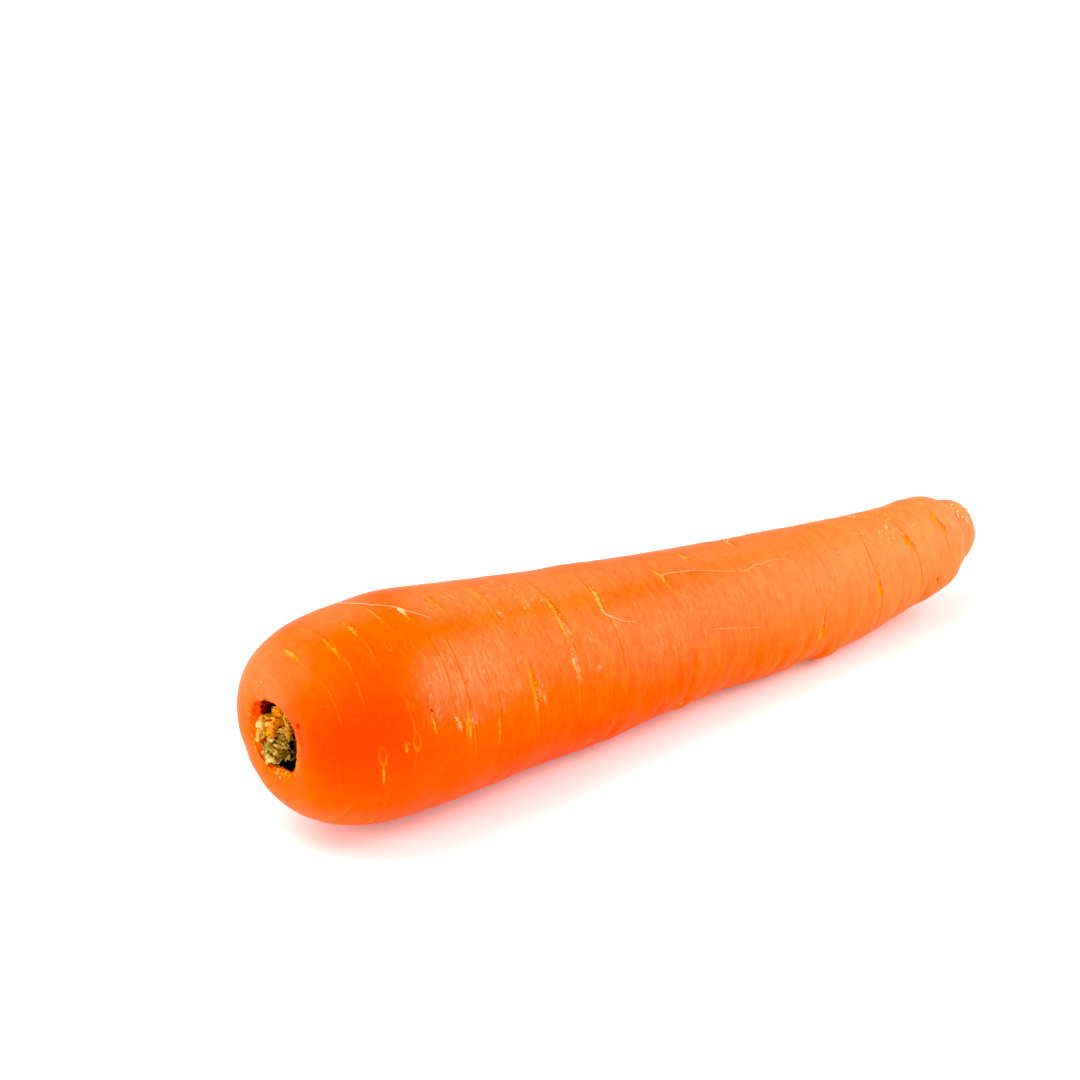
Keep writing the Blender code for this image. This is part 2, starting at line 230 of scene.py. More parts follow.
# Dry flakes and torn bits standing on the skin: (distance, angle, size)
FLAKES = (
    (0.15, 68.2, 0.45), (0.0001, 12.0, 0.5), (0.0001, -18.0, 0.4), (0.0001, -27.0, 0.35),
    (0.0001, -34.0, 0.45), (0.0001, 56.0, 0.4), (0.0001, 262.0, 0.5), (27.9, 98.5, 0.9),
    (28.2, 100.5, 1.1), (28.0, 102.0, 0.8), (128.6, 72.0, 0.8), (139.0, 74.5, 0.7),
    (141.2, 123.8, 0.4), (150.7, 113.0, 0.7), (154.2, 79.5, 0.8), (154.8, 83.0, 0.8),
    (156.5, 126.3, 0.5), (158.0, 127.0, 0.5), (158.2, 112.6, 0.8), (159.1, 98.0, 0.6),
    (66.7, 161.6, 0.4), (60.8, 150.0, 0.6), (60.6, 154.0, 0.7), (61.3, 159.0, 0.6),
    (27.8, 166.0, 0.5), (28.6, 171.0, 0.6), (51.2, 170.4, 0.5), (180.6, 118.0, 0.9),
    (181.3, 127.0, 1.0), (182.2, 133.0, 0.9), (181.8, 122.0, 0.8), (181.0, 109.0, 0.7),
    (184.4, 127.0, 0.8), (182.0, 104.2, 0.7), (182.6, 140.0, 0.8), (182.9, 144.0, 0.7),
    (183.4, 136.0, 0.6), (185.5, 120.0, 0.9), (57.0, 96.0, 0.4), (55.1, 115.8, 0.4),
    (48.3, 116.5, 0.35), (54.8, 10.0, 0.6), (97.3, 14.0, 0.6), (68.3, 246.0, 0.6),
    (140.8, -10.0, 0.6), (122.0, 300.0, 0.5), (36.0, 290.0, 0.5),
)
SLIVERS = 4

# Growth rings: (distance, first angle, last angle, line strength, groove depth)
RINGS = (
    (2.5, 172, 204, 0.2, 0.02), (4.3, 98, 150, 0.35, 0.04), (9.7, 80, 146, 0.5, 0.05),
    (15.8, 88, 132, 0.7, 0.05), (17.4, 150, 186, 0.6, 0.04), (22.7, 80, 118, 0.4, 0.04),
    (28.1, 90, 160, 0.9, 0.06), (32.0, 122, 186, 0.8, 0.16), (37.0, 100, 158, 0.8, 0.16),
    (38.9, 148, 200, 0.7, 0.06), (47.1, 80, 122, 0.6, 0.06), (49.3, 122, 192, 0.6, 0.15),
    (56.6, 74, 108, 0.7, 0.05), (61.4, 90, 184, 0.7, 0.12), (72.2, 206, 250, 0.2, 0.22),
    (84.8, 206, 252, 0.2, 0.2), (92.6, 160, 250, 0.6, 0.22), (134.2, 206, 256, 0.3, 0.38),
    (73.4, 96, 172, 0.7, 0.13), (92.9, 92, 140, 0.6, 0.1), (103.2, 78, 112, 0.4, 0.08),
    (114.4, 96, 140, 0.6, 0.09), (118.0, 66, 102, 0.5, 0.1), (130.8, 158, 228, 0.7, 0.14),
    (139.2, 152, 206, 0.5, 0.1), (136.6, 190, 232, 0.3, 0.12), (142.0, 186, 234, 0.5, 0.14),
    (144.8, 162, 222, 0.5, 0.14), (147.0, 188, 236, 0.4, 0.12), (151.4, 182, 232, 0.6, 0.16),
    (154.0, 186, 230, 0.4, 0.12), (156.6, 172, 230, 0.6, 0.16), (159.4, 178, 228, 0.5, 0.14),
    (164.6, 176, 226, 0.5, 0.14), (99.6, 196, 236, 0.4, 0.12), (106.2, 184, 236, 0.4, 0.14),
    (112.0, 190, 232, 0.3, 0.12), (119.5, 192, 236, 0.3, 0.14), (126.0, 188, 232, 0.3, 0.14),
    (79.4, 176, 214, 0.3, 0.1), (149.0, 118, 226, 0.8, 0.18), (161.8, 110, 176, 0.7, 0.14),
    (168.6, 168, 212, 0.4, 0.1), (172.2, 98, 168, 0.6, 0.16), (175.6, 150, 215, 0.4, 0.08),
    (6.0, 210, 300, 0.6, 0.04), (13.2, 200, 280, 0.6, 0.05), (26.4, 215, 290, 0.6, 0.06),
    (43.6, 205, 275, 0.6, 0.07), (68.2, 210, 290, 0.6, 0.09), (84.2, 225, 300, 0.5, 0.09),
    (112.7, 215, 290, 0.6, 0.11), (140.4, 225, 300, 0.6, 0.15), (8.2, -60, 40, 0.7, 0.04),
    (12.6, 10, 75, 0.6, 0.05), (20.4, -30, 60, 0.7, 0.06), (31.8, -70, 10, 0.7, 0.07),
    (41.4, 10, 78, 0.6, 0.08), (54.8, -40, 60, 0.7, 0.1), (79.2, 10, 86, 0.6, 0.11),
    (82.8, -70, 0, 0.6, 0.1), (97.4, -30, 60, 0.7, 0.12), (110.1, -70, 10, 0.6, 0.11),
    (124.6, -10, 75, 0.6, 0.13), (141.0, -70, 40, 0.7, 0.16), (153.0, 0, 84, 0.6, 0.16),
    (164.2, -60, 50, 0.7, 0.2), (174.4, -50, 70, 0.6, 0.2),
)
RING_WANDER = 0.5
RING_FADE = 16.0
GROOVE_WIDTH = 0.75
# the raised lips beside a groove: their height as a share of its depth, their place and width
GROOVE_LIP = 0.45
GROOVE_LIP_OFF = 1.9
GROOVE_LIP_WIDTH = 1.4
# the distance across a ring where its look is gone, and where it is full
RING_REACH = (2.2, 1.0)
# how far past their own size the marks' places are kept
LINE_MARGIN = 1.4
OVAL_MARGIN = 1.3

# Soft swellings: (distance, angle, reach along, reach round in degrees, height)
SWELLINGS = (
    (78.5, 232.0, 4.5, 18.0, 0.22), (94.6, 220.0, 1.6, 9.0, 0.3),
    (131.5, 232.0, 3.0, 18.0, -0.6), (137.5, 229.0, 2.8, 15.0, 0.62),
    (131.0, 198.0, 1.8, 9.0, 0.22), (144.5, 230.0, 2.5, 16.0, -0.18),
    (61.4, 166.2, 0.9, 3.2, 0.18), (67.1, 161.6, 0.7, 2.6, 0.16),
    (148.7, 166.0, 2.4, 12.0, 0.18), (161.5, 150.0, 2.5, 24.0, 0.2),
    (168.0, 215.0, 3.0, 22.0, 0.25), (31.0, 172.0, 2.0, 8.0, 0.12),
    (49.0, 164.0, 2.2, 10.0, 0.14), (0.7, 329.0, 1.6, 7.0, -0.3), (1.4, 319.0, 2.0, 8.0, 0.15),
    (104.0, 20.0, 5.0, 24.0, 0.3), (70.0, -30.0, 7.0, 30.0, 0.3), (150.0, 10.0, 4.0, 30.0, 0.3),
)

# Painted sheen, a paler band along the upper side: (distance, middle angle, reach in degrees,
# strength)
PAINTED_SHEEN = (
    (0.0, 150.0, 16.0, 0.0), (18.0, 150.0, 16.0, 0.1), (26.0, 147.0, 17.0, 0.85),
    (36.0, 146.0, 20.0, 0.9), (48.0, 142.0, 22.0, 0.65), (60.0, 142.0, 25.0, 0.55),
    (85.0, 150.0, 28.0, 0.75), (105.0, 146.0, 33.0, 0.78), (130.0, 142.0, 38.0, 0.95),
    (150.0, 144.0, 42.0, 1.2), (170.0, 146.0, 50.0, 1.4), (176.0, 140.0, 60.0, 1.6),
    (181.0, 136.0, 70.0, 2.0), (187.0, 136.0, 70.0, 2.0),
)

# Soft patches, partly painted light and shade: (distance, angle, reach along, reach round in
# degrees, strength)
# deeper orange: the skin's own redder tone by the crown, with painted shade on the crown's lower
# side and along the lower side
FLUSH_AND_SHADE = ((6.0, 162.0, 25.0, 47.0, 1.0), (45.0, 208.0, 65.0, 32.0, 0.6))
SCRATCHED = ((23.0, 151.0, 3.8, 13.0, 1.1),)
# painted light on the crown's upper side, joined to the painted sheen
CROWN_PAINTED_LIGHT = ((1.0, 70.0, 6.0, 50.0, 0.5525), (15.0, 86.0, 10.0, 16.0, 0.425))
SPECKS = ((56.0, 100.0, 14.0, 18.0, 1.0), (158.0, 112.0, 12.0, 26.0, 0.8))

# Uneven skin: (scale along, scale round, seed, height, more at the tail, (middle, reach))
EVERYWHERE = (0.0, math.inf)
ROUGHNESS = (
    (0.30, 0.13, 3, 0.045, 0.10, EVERYWHERE),
    (0.13, 0.14, 5, 0.15, 0.0, EVERYWHERE),
    (0.9, 0.40, 8, 0.012, 0.012, EVERYWHERE),
    (0.62, 0.06, 9, 0.015, 0.075, (200.0, 60.0)),
)
# lengths over which the relief fades out at the socket's lip and at the tip
CALM_LIP = 1.5
CALM_TIP = 2.5

# The fold where the nub leaves the body, and its parts: (middle angle, reach in degrees)
NUB_FOLD = 179.5
# it is tilted by so many mm, farthest from the crown at this angle
FOLD_TILT = 1.4
FOLD_FARTHEST = 60.0
FOLD_WIDTH = 1.1
# the painted shade along the fold, and on the nub just past it
CREASE_SHADE_WIDTH = 0.55
FOLD_BELOW = (205.0, 45.0)
CREASE_SHADE_SIDE = (150.0, 62.0)
SHADED_NUB = (135.0, 50.0)

# Stretches of the root where something sets in: (none at this distance, full at this one)
TAIL = (100.0, 165.0)
# where the painted sheen's upper and back bands set in and end
UPPER_STARTS = (24.0, 34.0)
UPPER_ENDS = (150.0, 125.0)
BACK_STARTS = (20.0, 42.0)
# where the hairs, with their painted glints, set in and thin out
FUZZ_STARTS = (20.0, 27.0)
FUZZ_THINS = (55.0, 120.0)
NUB_STARTS = (180.5, 183.0)
WEAR_STARTS = (18.0, 70.0)

# Sides of the root: (middle angle, reach in degrees)
# the upper band of painted sheen
UPPER_SHEEN_BAND = (101.0, 17.0)
WORN_SIDE = (200.0, 50.0)
SPECKLED_NUB = (120.0, 60.0)
DULL_BY_STAIN = (15.0, 30.0)

# ---------------------------------------------------------------------------
# The socket and what stands in it
# ---------------------------------------------------------------------------

# Where the socket's mouth is wider or narrower: (angle, reach in degrees, mm)
SOCKET_OUTLINE = (
    (5.0, 24.0, -0.6), (46.0, 13.0, 0.8), (100.0, 26.0, 0.3), (131.0, 24.0, 0.4),
    (186.0, 22.0, -0.3), (314.0, 18.0, 0.9),
)
# its middle, sideways and up
SOCKET_MIDDLE = (-1.0, 24.0)

# Parts of its rim and wall: (middle angle, reach in degrees)
# torn flesh laid thin along the near rim as a painted highlight on its edge
NEAR_RIM_HIGHLIGHT = (205.0, 50.0)
TORN_RIM = (288.0, 26.0)
TORN_WALL = (296.0, 26.0)
BULGE = (262.0, 24.0)
STAINED = (24.0, 34.0)
STAIN_BELOW = (340.0, 34.0)
# painted light on the socket's far wall, and painted shade on strands behind the near rim
LIT_WALL = (44.0, 26.0)
SHADED_WALL = (200.0, 48.0)
RAGGED_RIM = ((330.0, 45.0), (40.0, 45.0))
# the depth where painted shade darkens the wall, and where the lit wall darkens only deeper: (mm
# more, middle, reach)
DARK_DEPTH = 0.9
LIT_DEEPER = ((1.9, 4.0, 24.0), (2.8, 322.0, 32.0))
# the depths where strands get no light and full light
LIGHT_REACH = (4.4, 1.2)

# The way that torn strands lie across the socket, in degrees
FIBRE_SLANT = 14.0
# How far the cluster spreads to its lower left
SPREAD = 1.8
SPREAD_SIDE = (320.0, 36.0)
# How far strands and flaps reach from the cluster's middle, and how much more at lower left
STRAND_ROOM = (5.1, 1.8)
FLAP_ROOM = (5.2, 2.2)
ROOMY_SIDE = (311.0, 27.0)
# and how far they may stand out of the socket
STRAND_OVERHANG = 0.6
# Each leaf stalk base: (paleness, gold, strands, lean of its strands)
STUB_LOOKS = (
    (0.25, 0.5, 36, 1.1), (0.15, 1.0, 30, 0.8), (0.08, 0.75, 34, 0.9), (0.05, 0.15, 26, 0.9),
    (0.05, 0.05, 34, 1.2), (0.18, 0.05, 44, 1.4), (0.12, 0.9, 36, 1.2), (0.1, 0.45, 36, 1.3),
    (0.14, 0.05, 46, 1.6), (0.22, 0.2, 18, 1.2),
)
# Its rings of points: (share of the height, shrinking towards its middle)
BODY_LEVELS = (
    (0.0, 0.0), (0.2, 0.0), (0.4, 0.0), (0.55, 0.0), (0.7, 0.0), (0.8, 0.0), (0.88, 0.05),
    (0.93, 0.2), (0.92, 0.45), (0.88, 0.75), (0.88, 1.0),
)
# Broad torn flaps: (stalk base, radius, angle, half width, reach, lean, (paleness, gold))
FLAPS = (
    (1, 3.4, 36.0, 0.5, 1.6, 0.6, (0.55, 0.8)), (1, 3.6, 24.0, 0.6, 1.5, 0.6, (0.3, 0.9)),
    (1, 3.7, 15.0, 0.6, 1.5, 0.6, (0.8, 0.2)), (1, 3.8, 6.0, 0.75, 1.7, 0.7, (1.0, 0.05)),
    (1, 3.8, -3.0, 0.75, 1.6, 0.7, (0.9, 0.25)), (1, 4.0, -12.0, 0.6, 1.5, 0.7, (0.4, 0.8)),
    (1, 4.0, -20.0, 0.55, 1.5, 0.7, (0.3, 0.5)), (2, 3.5, 48.0, 0.6, 1.8, 0.6, (0.55, 0.8)),
    (2, 3.8, 60.0, 0.8, 1.9, 0.5, (0.2, 1.0)), (2, 3.8, 72.0, 0.7, 1.8, 0.4, (0.1, 1.0)),
    (2, 3.8, 84.0, 0.6, 1.8, 0.4, (0.3, 0.95)), (3, 3.5, 104.0, 0.65, 1.8, 0.4, (0.25, 0.9)),
    (3, 3.5, 122.0, 0.6, 1.6, 0.3, (0.15, 0.8)), (5, 3.9, 258.0, 0.6, 1.2, 0.7, (0.05, 0.0)),
    (6, 4.5, 335.0, 0.6, 1.9, 1.0, (0.25, 0.5)), (6, 4.6, 328.0, 0.5, 1.9, 1.0, (0.8, 0.3)),
    (6, 4.6, 322.0, 0.65, 2.0, 1.1, (0.1, 0.1)), (6, 4.6, 316.0, 0.5, 2.1, 1.2, (0.8, 0.15)),
    (6, 4.6, 310.0, 0.5, 2.3, 1.4, (0.3, 0.1)), (6, 4.6, 304.0, 0.45, 2.4, 1.5, (0.85, 0.2)),
    (6, 4.5, 297.0, 0.6, 2.1, 1.3, (0.15, 0.05)), (6, 4.4, 289.0, 0.5, 2.3, 1.4, (0.75, 0.1)),
    (6, 4.2, 281.0, 0.6, 1.9, 1.2, (0.15, 0.1)), (5, 4.1, 270.0, 0.5, 1.8, 1.1, (0.45, 0.1)),
    (7, 2.0, 20.0, 0.8, 1.6, 0.8, (0.5, 0.85)), (7, 2.2, 45.0, 0.8, 1.8, 0.7, (0.2, 1.0)),
    (7, 2.3, 66.0, 0.7, 1.6, 0.6, (0.25, 0.95)), (8, 2.2, 95.0, 0.6, 1.6, 0.6, (0.3, 0.85)),
    (8, 2.2, 125.0, 0.5, 1.6, 0.6, (0.3, 0.6)), (9, 1.8, 330.0, 0.7, 1.6, 0.8, (0.35, 0.1)),
    (9, 2.0, 280.0, 0.6, 1.6, 0.8, (0.25, 0.05)),
)

# Thickness in mm where a rootlet leaves the skin and at its tip, and its paleness
ROOTLET_LOOKS = (
    (0.1, 0.05, 0.3), (0.12, 0.03, 0.4), (0.09, 0.04, 0.25), (0.07, 0.04, 0.15),
    (0.09, 0.04, 0.45), (0.07, 0.03, 0.02), (0.12, 0.08, 0.02), (0.1, 0.04, 0.3),
    (0.1, 0.04, 0.3), (0.1, 0.04, 0.3),
)
HAIR_SIZE = 0.03

# ---------------------------------------------------------------------------
# Mesh density, fields and studio
# ---------------------------------------------------------------------------

ROWS_EVERY = 0.5
AROUND = 224
PROFILE_STEPS = 1500
SEAM = -90.0
SOCKET_ROWS = 22
BODY_STEPS = 30
ROOTLET_POINTS = 60
UV_MARGIN = 0.01
# a direction that no thin tube follows
ASIDE = (0.31, 0.22, 0.93)
# the step along the skin that its slope is taken over
SLOPE_STEP = 0.2
# the radius that noise round the root is scaled by
TYPICAL_RADIUS = 18.0
# how many values noise draws, and large primes that scatter its cells over them
NOISE_VALUES = 4096
PRIMES = (73856093, 19349663, 83492791)
# seeds of the random draws; the stalk bases and the rootlets count up from theirs
STALK_SEED = 40
ROOTLET_SEED = 70
FLAKE_SEED = 11

# Fields that hold where a place lies in its nearest mark, and their value far from any mark
MARK_PLACES = ("line_place", "eye_place", "dot_place", "scrape_place")
FAR_OFF = 9.0

FLOOR_SIZE = 8.0
SURROUNDINGS = 0.7
CAMERA_PLACE = (-0.3680, -0.4267, 0.2914)
CAMERA_AIM = (0.0380, 0.0822, -0.0003)
LENS = 100.0
SENSOR = 36.0
BLACK_LEVEL = 0.024
# soft lights: (place, aim, width, height, power)
LIGHTS = (
    ((0.62, -0.60, 0.72), (0.0, 0.0, 0.02), 0.8, 0.6, 7.5),
    ((-0.45, 0.25, 0.80), (-0.05, 0.0, 0.03), 0.7, 0.7, 7.0),
    ((-0.70, -0.06, 0.32), (-0.09, 0.0, 0.02), 0.3, 0.3, 1.8),
)


# ---------------------------------------------------------------------------
# Curves and noise
# ---------------------------------------------------------------------------

def along(table, column, at):
    """One column of a table at distances between its rows, on a smooth curve."""
    rows = np.array(table, dtype=float)
    place = rows[:, 0]
    value = rows[:, column]
    last = len(rows) - 1
    at = np.clip(at, place[0], place[-1])
    row = np.clip(np.searchsorted(place, at, side="left") - 1, 0, last - 1)
    low = np.maximum(np.arange(last + 1) - 1, 0)
    high = np.minimum(np.arange(last + 1) + 1, last)
    slope = (value[high] - value[low]) / (place[high] - place[low])
    width = place[row + 1] - place[row]
    t = (at - place[row]) / width
    rise = 3 * t ** 2 - 2 * t ** 3
    leave = t * (1 - t) ** 2 * width * slope[row]
    arrive = t ** 2 * (t - 1) * width * slope[row + 1]
    return value[row] * (1 - rise) + value[row + 1] * rise + leave + arrive


def root_profile():
    """Distance, radius and length along the skin, from the socket's lip to the tail's tip."""
    turn = np.linspace(0.0, math.pi / 2, PROFILE_STEPS, endpoint=False)
    first_radius = BODY_RADII[0][1]
    last_radius = BODY_RADII[-1][1]
    body_end = BODY_RADII[-1][0]
    nub_start = LENGTH - NUB_LENGTH
    body = np.linspace(CROWN_LENGTH, body_end, PROFILE_STEPS, endpoint=False)
    swell = np.sin(turn) ** (2 / CROWN_FULLNESS)
    shrink = np.cos(turn) ** (2 / TAIL_FULLNESS)
    distance = np.concatenate([
        CROWN_LENGTH * (1 - np.cos(turn) ** (2 / CROWN_BULGE)),
        body,
        body_end + (nub_start - body_end) * np.sin(turn) ** (2 / TAIL_BULGE),
        nub_start + NUB_LENGTH * np.sin(turn),
        [LENGTH],
    ])
    radius = np.concatenate([
        CROWN_START_RADIUS + (first_radius - CROWN_START_RADIUS) * swell,
        along(BODY_RADII, 1, body),
        NUB_RADIUS + (last_radius - NUB_RADIUS) * shrink,
        NUB_RADIUS * np.cos(turn) ** NUB_FULLNESS,
        [0.0],
    ])
    steps = np.hypot(np.diff(distance), np.diff(radius))
    return distance, radius, np.concatenate([[0.0], np.cumsum(steps)])


DISTANCES, RADII, ARCS = root_profile()


def arc_of(distance):
    """Length along the skin at a distance from the crown."""
    return np.interp(distance, DISTANCES, ARCS)


def radius_at(arc):
    """Radius of the plain root at a length along its skin."""
    return np.interp(arc, ARCS, RADII)


def nearest_turn(angle, middle):
    """An angle given within half a turn of another."""
    return (angle - middle + 180.0) % 360.0 - 180.0 + middle


def bell(value):
    """1 at zero, falling smoothly to nothing at about 2."""
    return np.exp(-value ** 2)


def side_of(angle, middle, reach):
    """1 at an angle, falling to nothing over a reach."""
    return bell((nearest_turn(angle, middle) - middle) / reach)


def smooth_step(low, high, value):
    """0 below low, 1 above high and smooth between them."""
    t = np.clip((value - low) / (high - low), 0.0, 1.0)
    return t * t * (3 - 2 * t)


def cloud(points, seed):
    """Smooth noise from -1 to 1 at an array of points, about one unit to a lump."""
    table = np.random.default_rng(seed).uniform(-1.0, 1.0, NOISE_VALUES)
    cell = np.floor(points).astype(np.int64)
    part = points - cell
    part = part * part * (3 - 2 * part)
    total = np.zeros(points.shape[:-1])
    for corner in range(8):
        step = np.array([corner & 1, corner >> 1 & 1, corner >> 2 & 1])
        spot = cell + step
        key = np.bitwise_xor.reduce(spot * PRIMES, axis=-1)
        weight = np.where(step == 1, part, 1 - part).prod(axis=-1)
        total += weight * table[key % NOISE_VALUES]
    return total


# ---------------------------------------------------------------------------
# The root's skin
# ---------------------------------------------------------------------------

def stacked(*parts):
    """Arrays put together as the last axis of one array."""
    return np.stack(np.broadcast_arrays(*parts), axis=-1)


def round_points(distance, angle, along_scale, round_scale):
    """Points for noise that runs along the root and round it without a seam."""
    turn = np.radians(angle)
    across = np.cos(turn) * TYPICAL_RADIUS * round_scale
    up = np.sin(turn) * TYPICAL_RADIUS * round_scale
    return stacked(distance * along_scale, across, up)


def ring_places(arc, angle):
    """Nearest growth ring at each place: mm across it and its strength, and all the grooves."""
    best = np.zeros(np.broadcast(arc, angle).shape)
    across = np.zeros_like(best)
    groove = np.zeros_like(best)
    for number, (distance, first, last, strength, depth) in enumerate(RINGS):
        middle = (first + last) / 2
        turned = nearest_turn(angle, middle)
        half = (last - first) / 2
        shown = smooth_step(half + RING_FADE, half - RING_FADE, np.abs(turned - middle))
        turn = np.radians(turned)
        waves = np.sin(turn * 2.3 + number * 1.7) + 0.5 * np.sin(turn * 5.9 + number)
        off = arc - arc_of(distance) - RING_WANDER * waves
        near = shown * strength * smooth_step(*RING_REACH, np.abs(off))
        better = near > best
        best = np.where(better, near, best)
        across = np.where(better, off, across)
        groove += depth * shown * bell(off / GROOVE_WIDTH)
        for side in (-GROOVE_LIP_OFF, GROOVE_LIP_OFF):
            groove -= GROOVE_LIP * depth * shown * bell((off + side) / GROOVE_LIP_WIDTH)
    return across, best, groove


class Marks:
    """Marks on a grid of places: where each place lies in the nearest mark, and its look."""

    def __init__(self, arc, angle):
        shape = np.broadcast(arc, angle).shape
        self.place = np.zeros(shape + (3,))
        self.place[..., :2] = FAR_OFF
        self.look = np.zeros(shape + (3,))
        self.hollow = np.zeros(shape)
        self.closest = np.full(shape, np.inf)

    def add(self, away, reach, place, look):
        """Takes up a mark wherever it is within reach and nearer than those before it."""
        chosen = (away < self.closest) & (away < reach)
        self.closest = np.where(chosen, away, self.closest)
        self.place[chosen] = stacked(*place)[chosen]
        self.look[chosen] = (*look, 0.0)


def line_marks(arc, angle):
    """The long scars: places are shares of the half length and half width."""
    marks = Marks(arc, angle)
    for path, half_width, pale, ragged, depth in LINES:
        angles = [point[1] for point in path]
        middle = (angles[0] + angles[-1]) / 2
        turned = nearest_turn(angle, middle)
        path_arc = np.interp(turned, angles, [arc_of(point[0]) for point in path])
        size = radius_at(arc_of(path[0][0]))
        half_length = math.radians(angles[-1] - angles[0]) * size / 2
        u = np.radians(turned - middle) * size / half_length
        off = arc - path_arc
        beyond = np.maximum((np.abs(u) - 1) * half_length, 0.0)
        place = (u, off / half_width, 1.0)
        marks.add(np.hypot(beyond, off), half_width + LINE_MARGIN, place, (pale, ragged))
        body = bell(u / 0.8) * bell(off / (half_width * 1.4))
        lips = bell(u / 0.9) * (bell((off - 0.9) / 0.45) + bell((off + 0.9) / 0.45))
        marks.hollow += depth * (body - 0.5 * lips)
    return marks


def oval_marks(arc, angle, ovals):
    """Oval marks, whose rows end in a strength or in a filling, a paleness and a depth."""
    marks = Marks(arc, angle)
    for distance, middle, half_length, half_width, *facts in ovals:
        size = radius_at(arc_of(distance))
        run = np.radians(nearest_turn(angle, middle) - middle) * size
        off = arc - arc_of(distance)
        strength = facts[0] if len(facts) == 1 else 1.0
        place = (run / half_length, off / half_width, strength)
        look = facts[:2] if len(facts) == 3 else (0.0, 0.0)
        marks.add(np.hypot(run, off), half_length + OVAL_MARGIN, place, look)
        if len(facts) == 3:
            edge = np.hypot(*place[:2])
            marks.hollow += facts[2] * (bell(edge / 0.8) - 0.6 * bell((edge - 1.35) / 0.4))
    return marks


def nub_fold(arc, angle):
    """The fold where the nub leaves the body, deepest below: its depth and the painted shade along
    its line.
    """
    line = arc_of(NUB_FOLD) + FOLD_TILT * np.cos(np.radians(angle - FOLD_FARTHEST))
    off = arc - line
    depth = (0.1 + 0.55 * side_of(angle, *FOLD_BELOW)) * bell(off / FOLD_WIDTH)
    crease_shade = side_of(angle, *CREASE_SHADE_SIDE) * bell(off / CREASE_SHADE_WIDTH)
    above = 0.35 * side_of(angle, *SHADED_NUB) * bell((off - 1.8) / 1.4)
    return depth, np.maximum(crease_shade, above)


def relief(arc, angle):
    """Height in mm of the skin's unevenness over the plain root, and fields for its look."""
    distance = np.interp(arc, ARCS, DISTANCES)
    tail = smooth_step(*TAIL, distance)
    ring_across, ring_strength, groove = ring_places(arc, angle)
    lines = line_marks(arc, angle)
    eyes = oval_marks(arc, angle, EYES)
    fold, crease_shade = nub_fold(arc, angle)

    height = -groove - lines.hollow - eyes.hollow
    for spot, middle, reach, turn_reach, lift in SWELLINGS:
        off = (arc - arc_of(spot)) / reach
        turned = (nearest_turn(angle, middle) - middle) / turn_reach
        height = height + lift * bell(np.hypot(off, turned))
    for along_scale, round_scale, seed, even, more, side in ROUGHNESS:
        lumps = cloud(round_points(arc, angle, along_scale, round_scale), seed)
        height = height + (even + more * tail) * side_of(angle, *side) * lumps
    height = height - fold
    calm = np.clip(arc / CALM_LIP, 0.0, 1.0) * np.clip((ARCS[-1] - arc) / CALM_TIP, 0.0, 1.0)
    fields = {
        "ring_place": stacked(ring_across, ring_strength, tail),
        "line_place": lines.place,
        "line_look": lines.look,
        "eye_place": eyes.place,
        "eye_look": eyes.look,
        "dot_place": oval_marks(arc, angle, DOTS).place,
        "scrape_place": oval_marks(arc, angle, SCRAPES).place,
        "crease_shade": crease_shade,
    }
    return height * calm, fields


def skin_points(arc, angle, lift):
    """Points in mm at a length along the skin and an angle, raised by lift from the plain root."""
    distance = np.interp(arc, ARCS, DISTANCES)
    radius = radius_at(arc)
    ahead = np.minimum(arc + SLOPE_STEP, ARCS[-1])
    behind = np.maximum(arc - SLOPE_STEP, 0.0)
    slope_out = radius_at(ahead) - radius_at(behind)
    slope_on = np.interp(ahead, ARCS, DISTANCES) - np.interp(behind, ARCS, DISTANCES)
    size = np.hypot(slope_out, slope_on)
    turn = np.radians(angle)
    fade = bell(distance / CROWN_FLATTENING_REACH)
    wide = radius - CROWN_FLATTENING * fade * np.sin(turn) ** 2
    share = distance / LENGTH
    calm = np.minimum(distance / CROWN_LENGTH, (LENGTH - distance) / NUB_LENGTH)
    calm = np.clip(calm, 0.0, 1.0)
    for height, waves_along, waves_round, phase in UNEVENNESS:
        wave = np.sin(2 * math.pi * waves_along * share + phase)
        wide = wide + calm * height * wave * np.cos(waves_round * turn + phase)
    wide = wide * np.clip(radius, 0.0, 1.0) + lift * slope_on / size
    y = along(CENTRE_LINE, 1, distance) + wide * np.cos(turn)
    z = along(CENTRE_LINE, 2, distance) + wide * np.sin(turn)
    return stacked(distance - lift * slope_out / size, y, np.maximum(z - RESTING_DEPTH, 0.0))


def points_over_skin(arc, angle, lift):
    """Points in mm raised by lift from the uneven skin."""
    return skin_points(arc, angle, relief(arc, angle)[0] + lift)


def socket_points(depth, share, angle, rough):
    """Points in mm of the socket's wall, pushed out by rough."""
    turn = np.radians(angle)
    wide = share * SOCKET_HALF_WIDTH + rough
    high = share * SOCKET_HALF_HEIGHT + rough
    y = along(CENTRE_LINE, 1, depth) + wide * np.cos(turn)
    z = along(CENTRE_LINE, 2, depth) + high * np.sin(turn)
    return stacked(depth, y, z - RESTING_DEPTH)


def scaled(points):
    """Points in metres, measured from the origin."""
    return (points - np.array([MIDDLE_DISTANCE, MIDDLE_SIDEWAYS, 0.0])) * MM


# ---------------------------------------------------------------------------
# Mesh helpers
# ---------------------------------------------------------------------------

def grid_faces(rows, columns):
    """Quads between closed rows of points."""
    row, column = np.meshgrid(np.arange(rows - 1), np.arange(columns), indexing="ij")
    after = (column + 1) % columns
    first = row * columns
    faces = (first + column, first + columns + column, first + columns + after, first + after)
    return np.stack(faces, axis=-1).reshape(-1, 4).tolist()


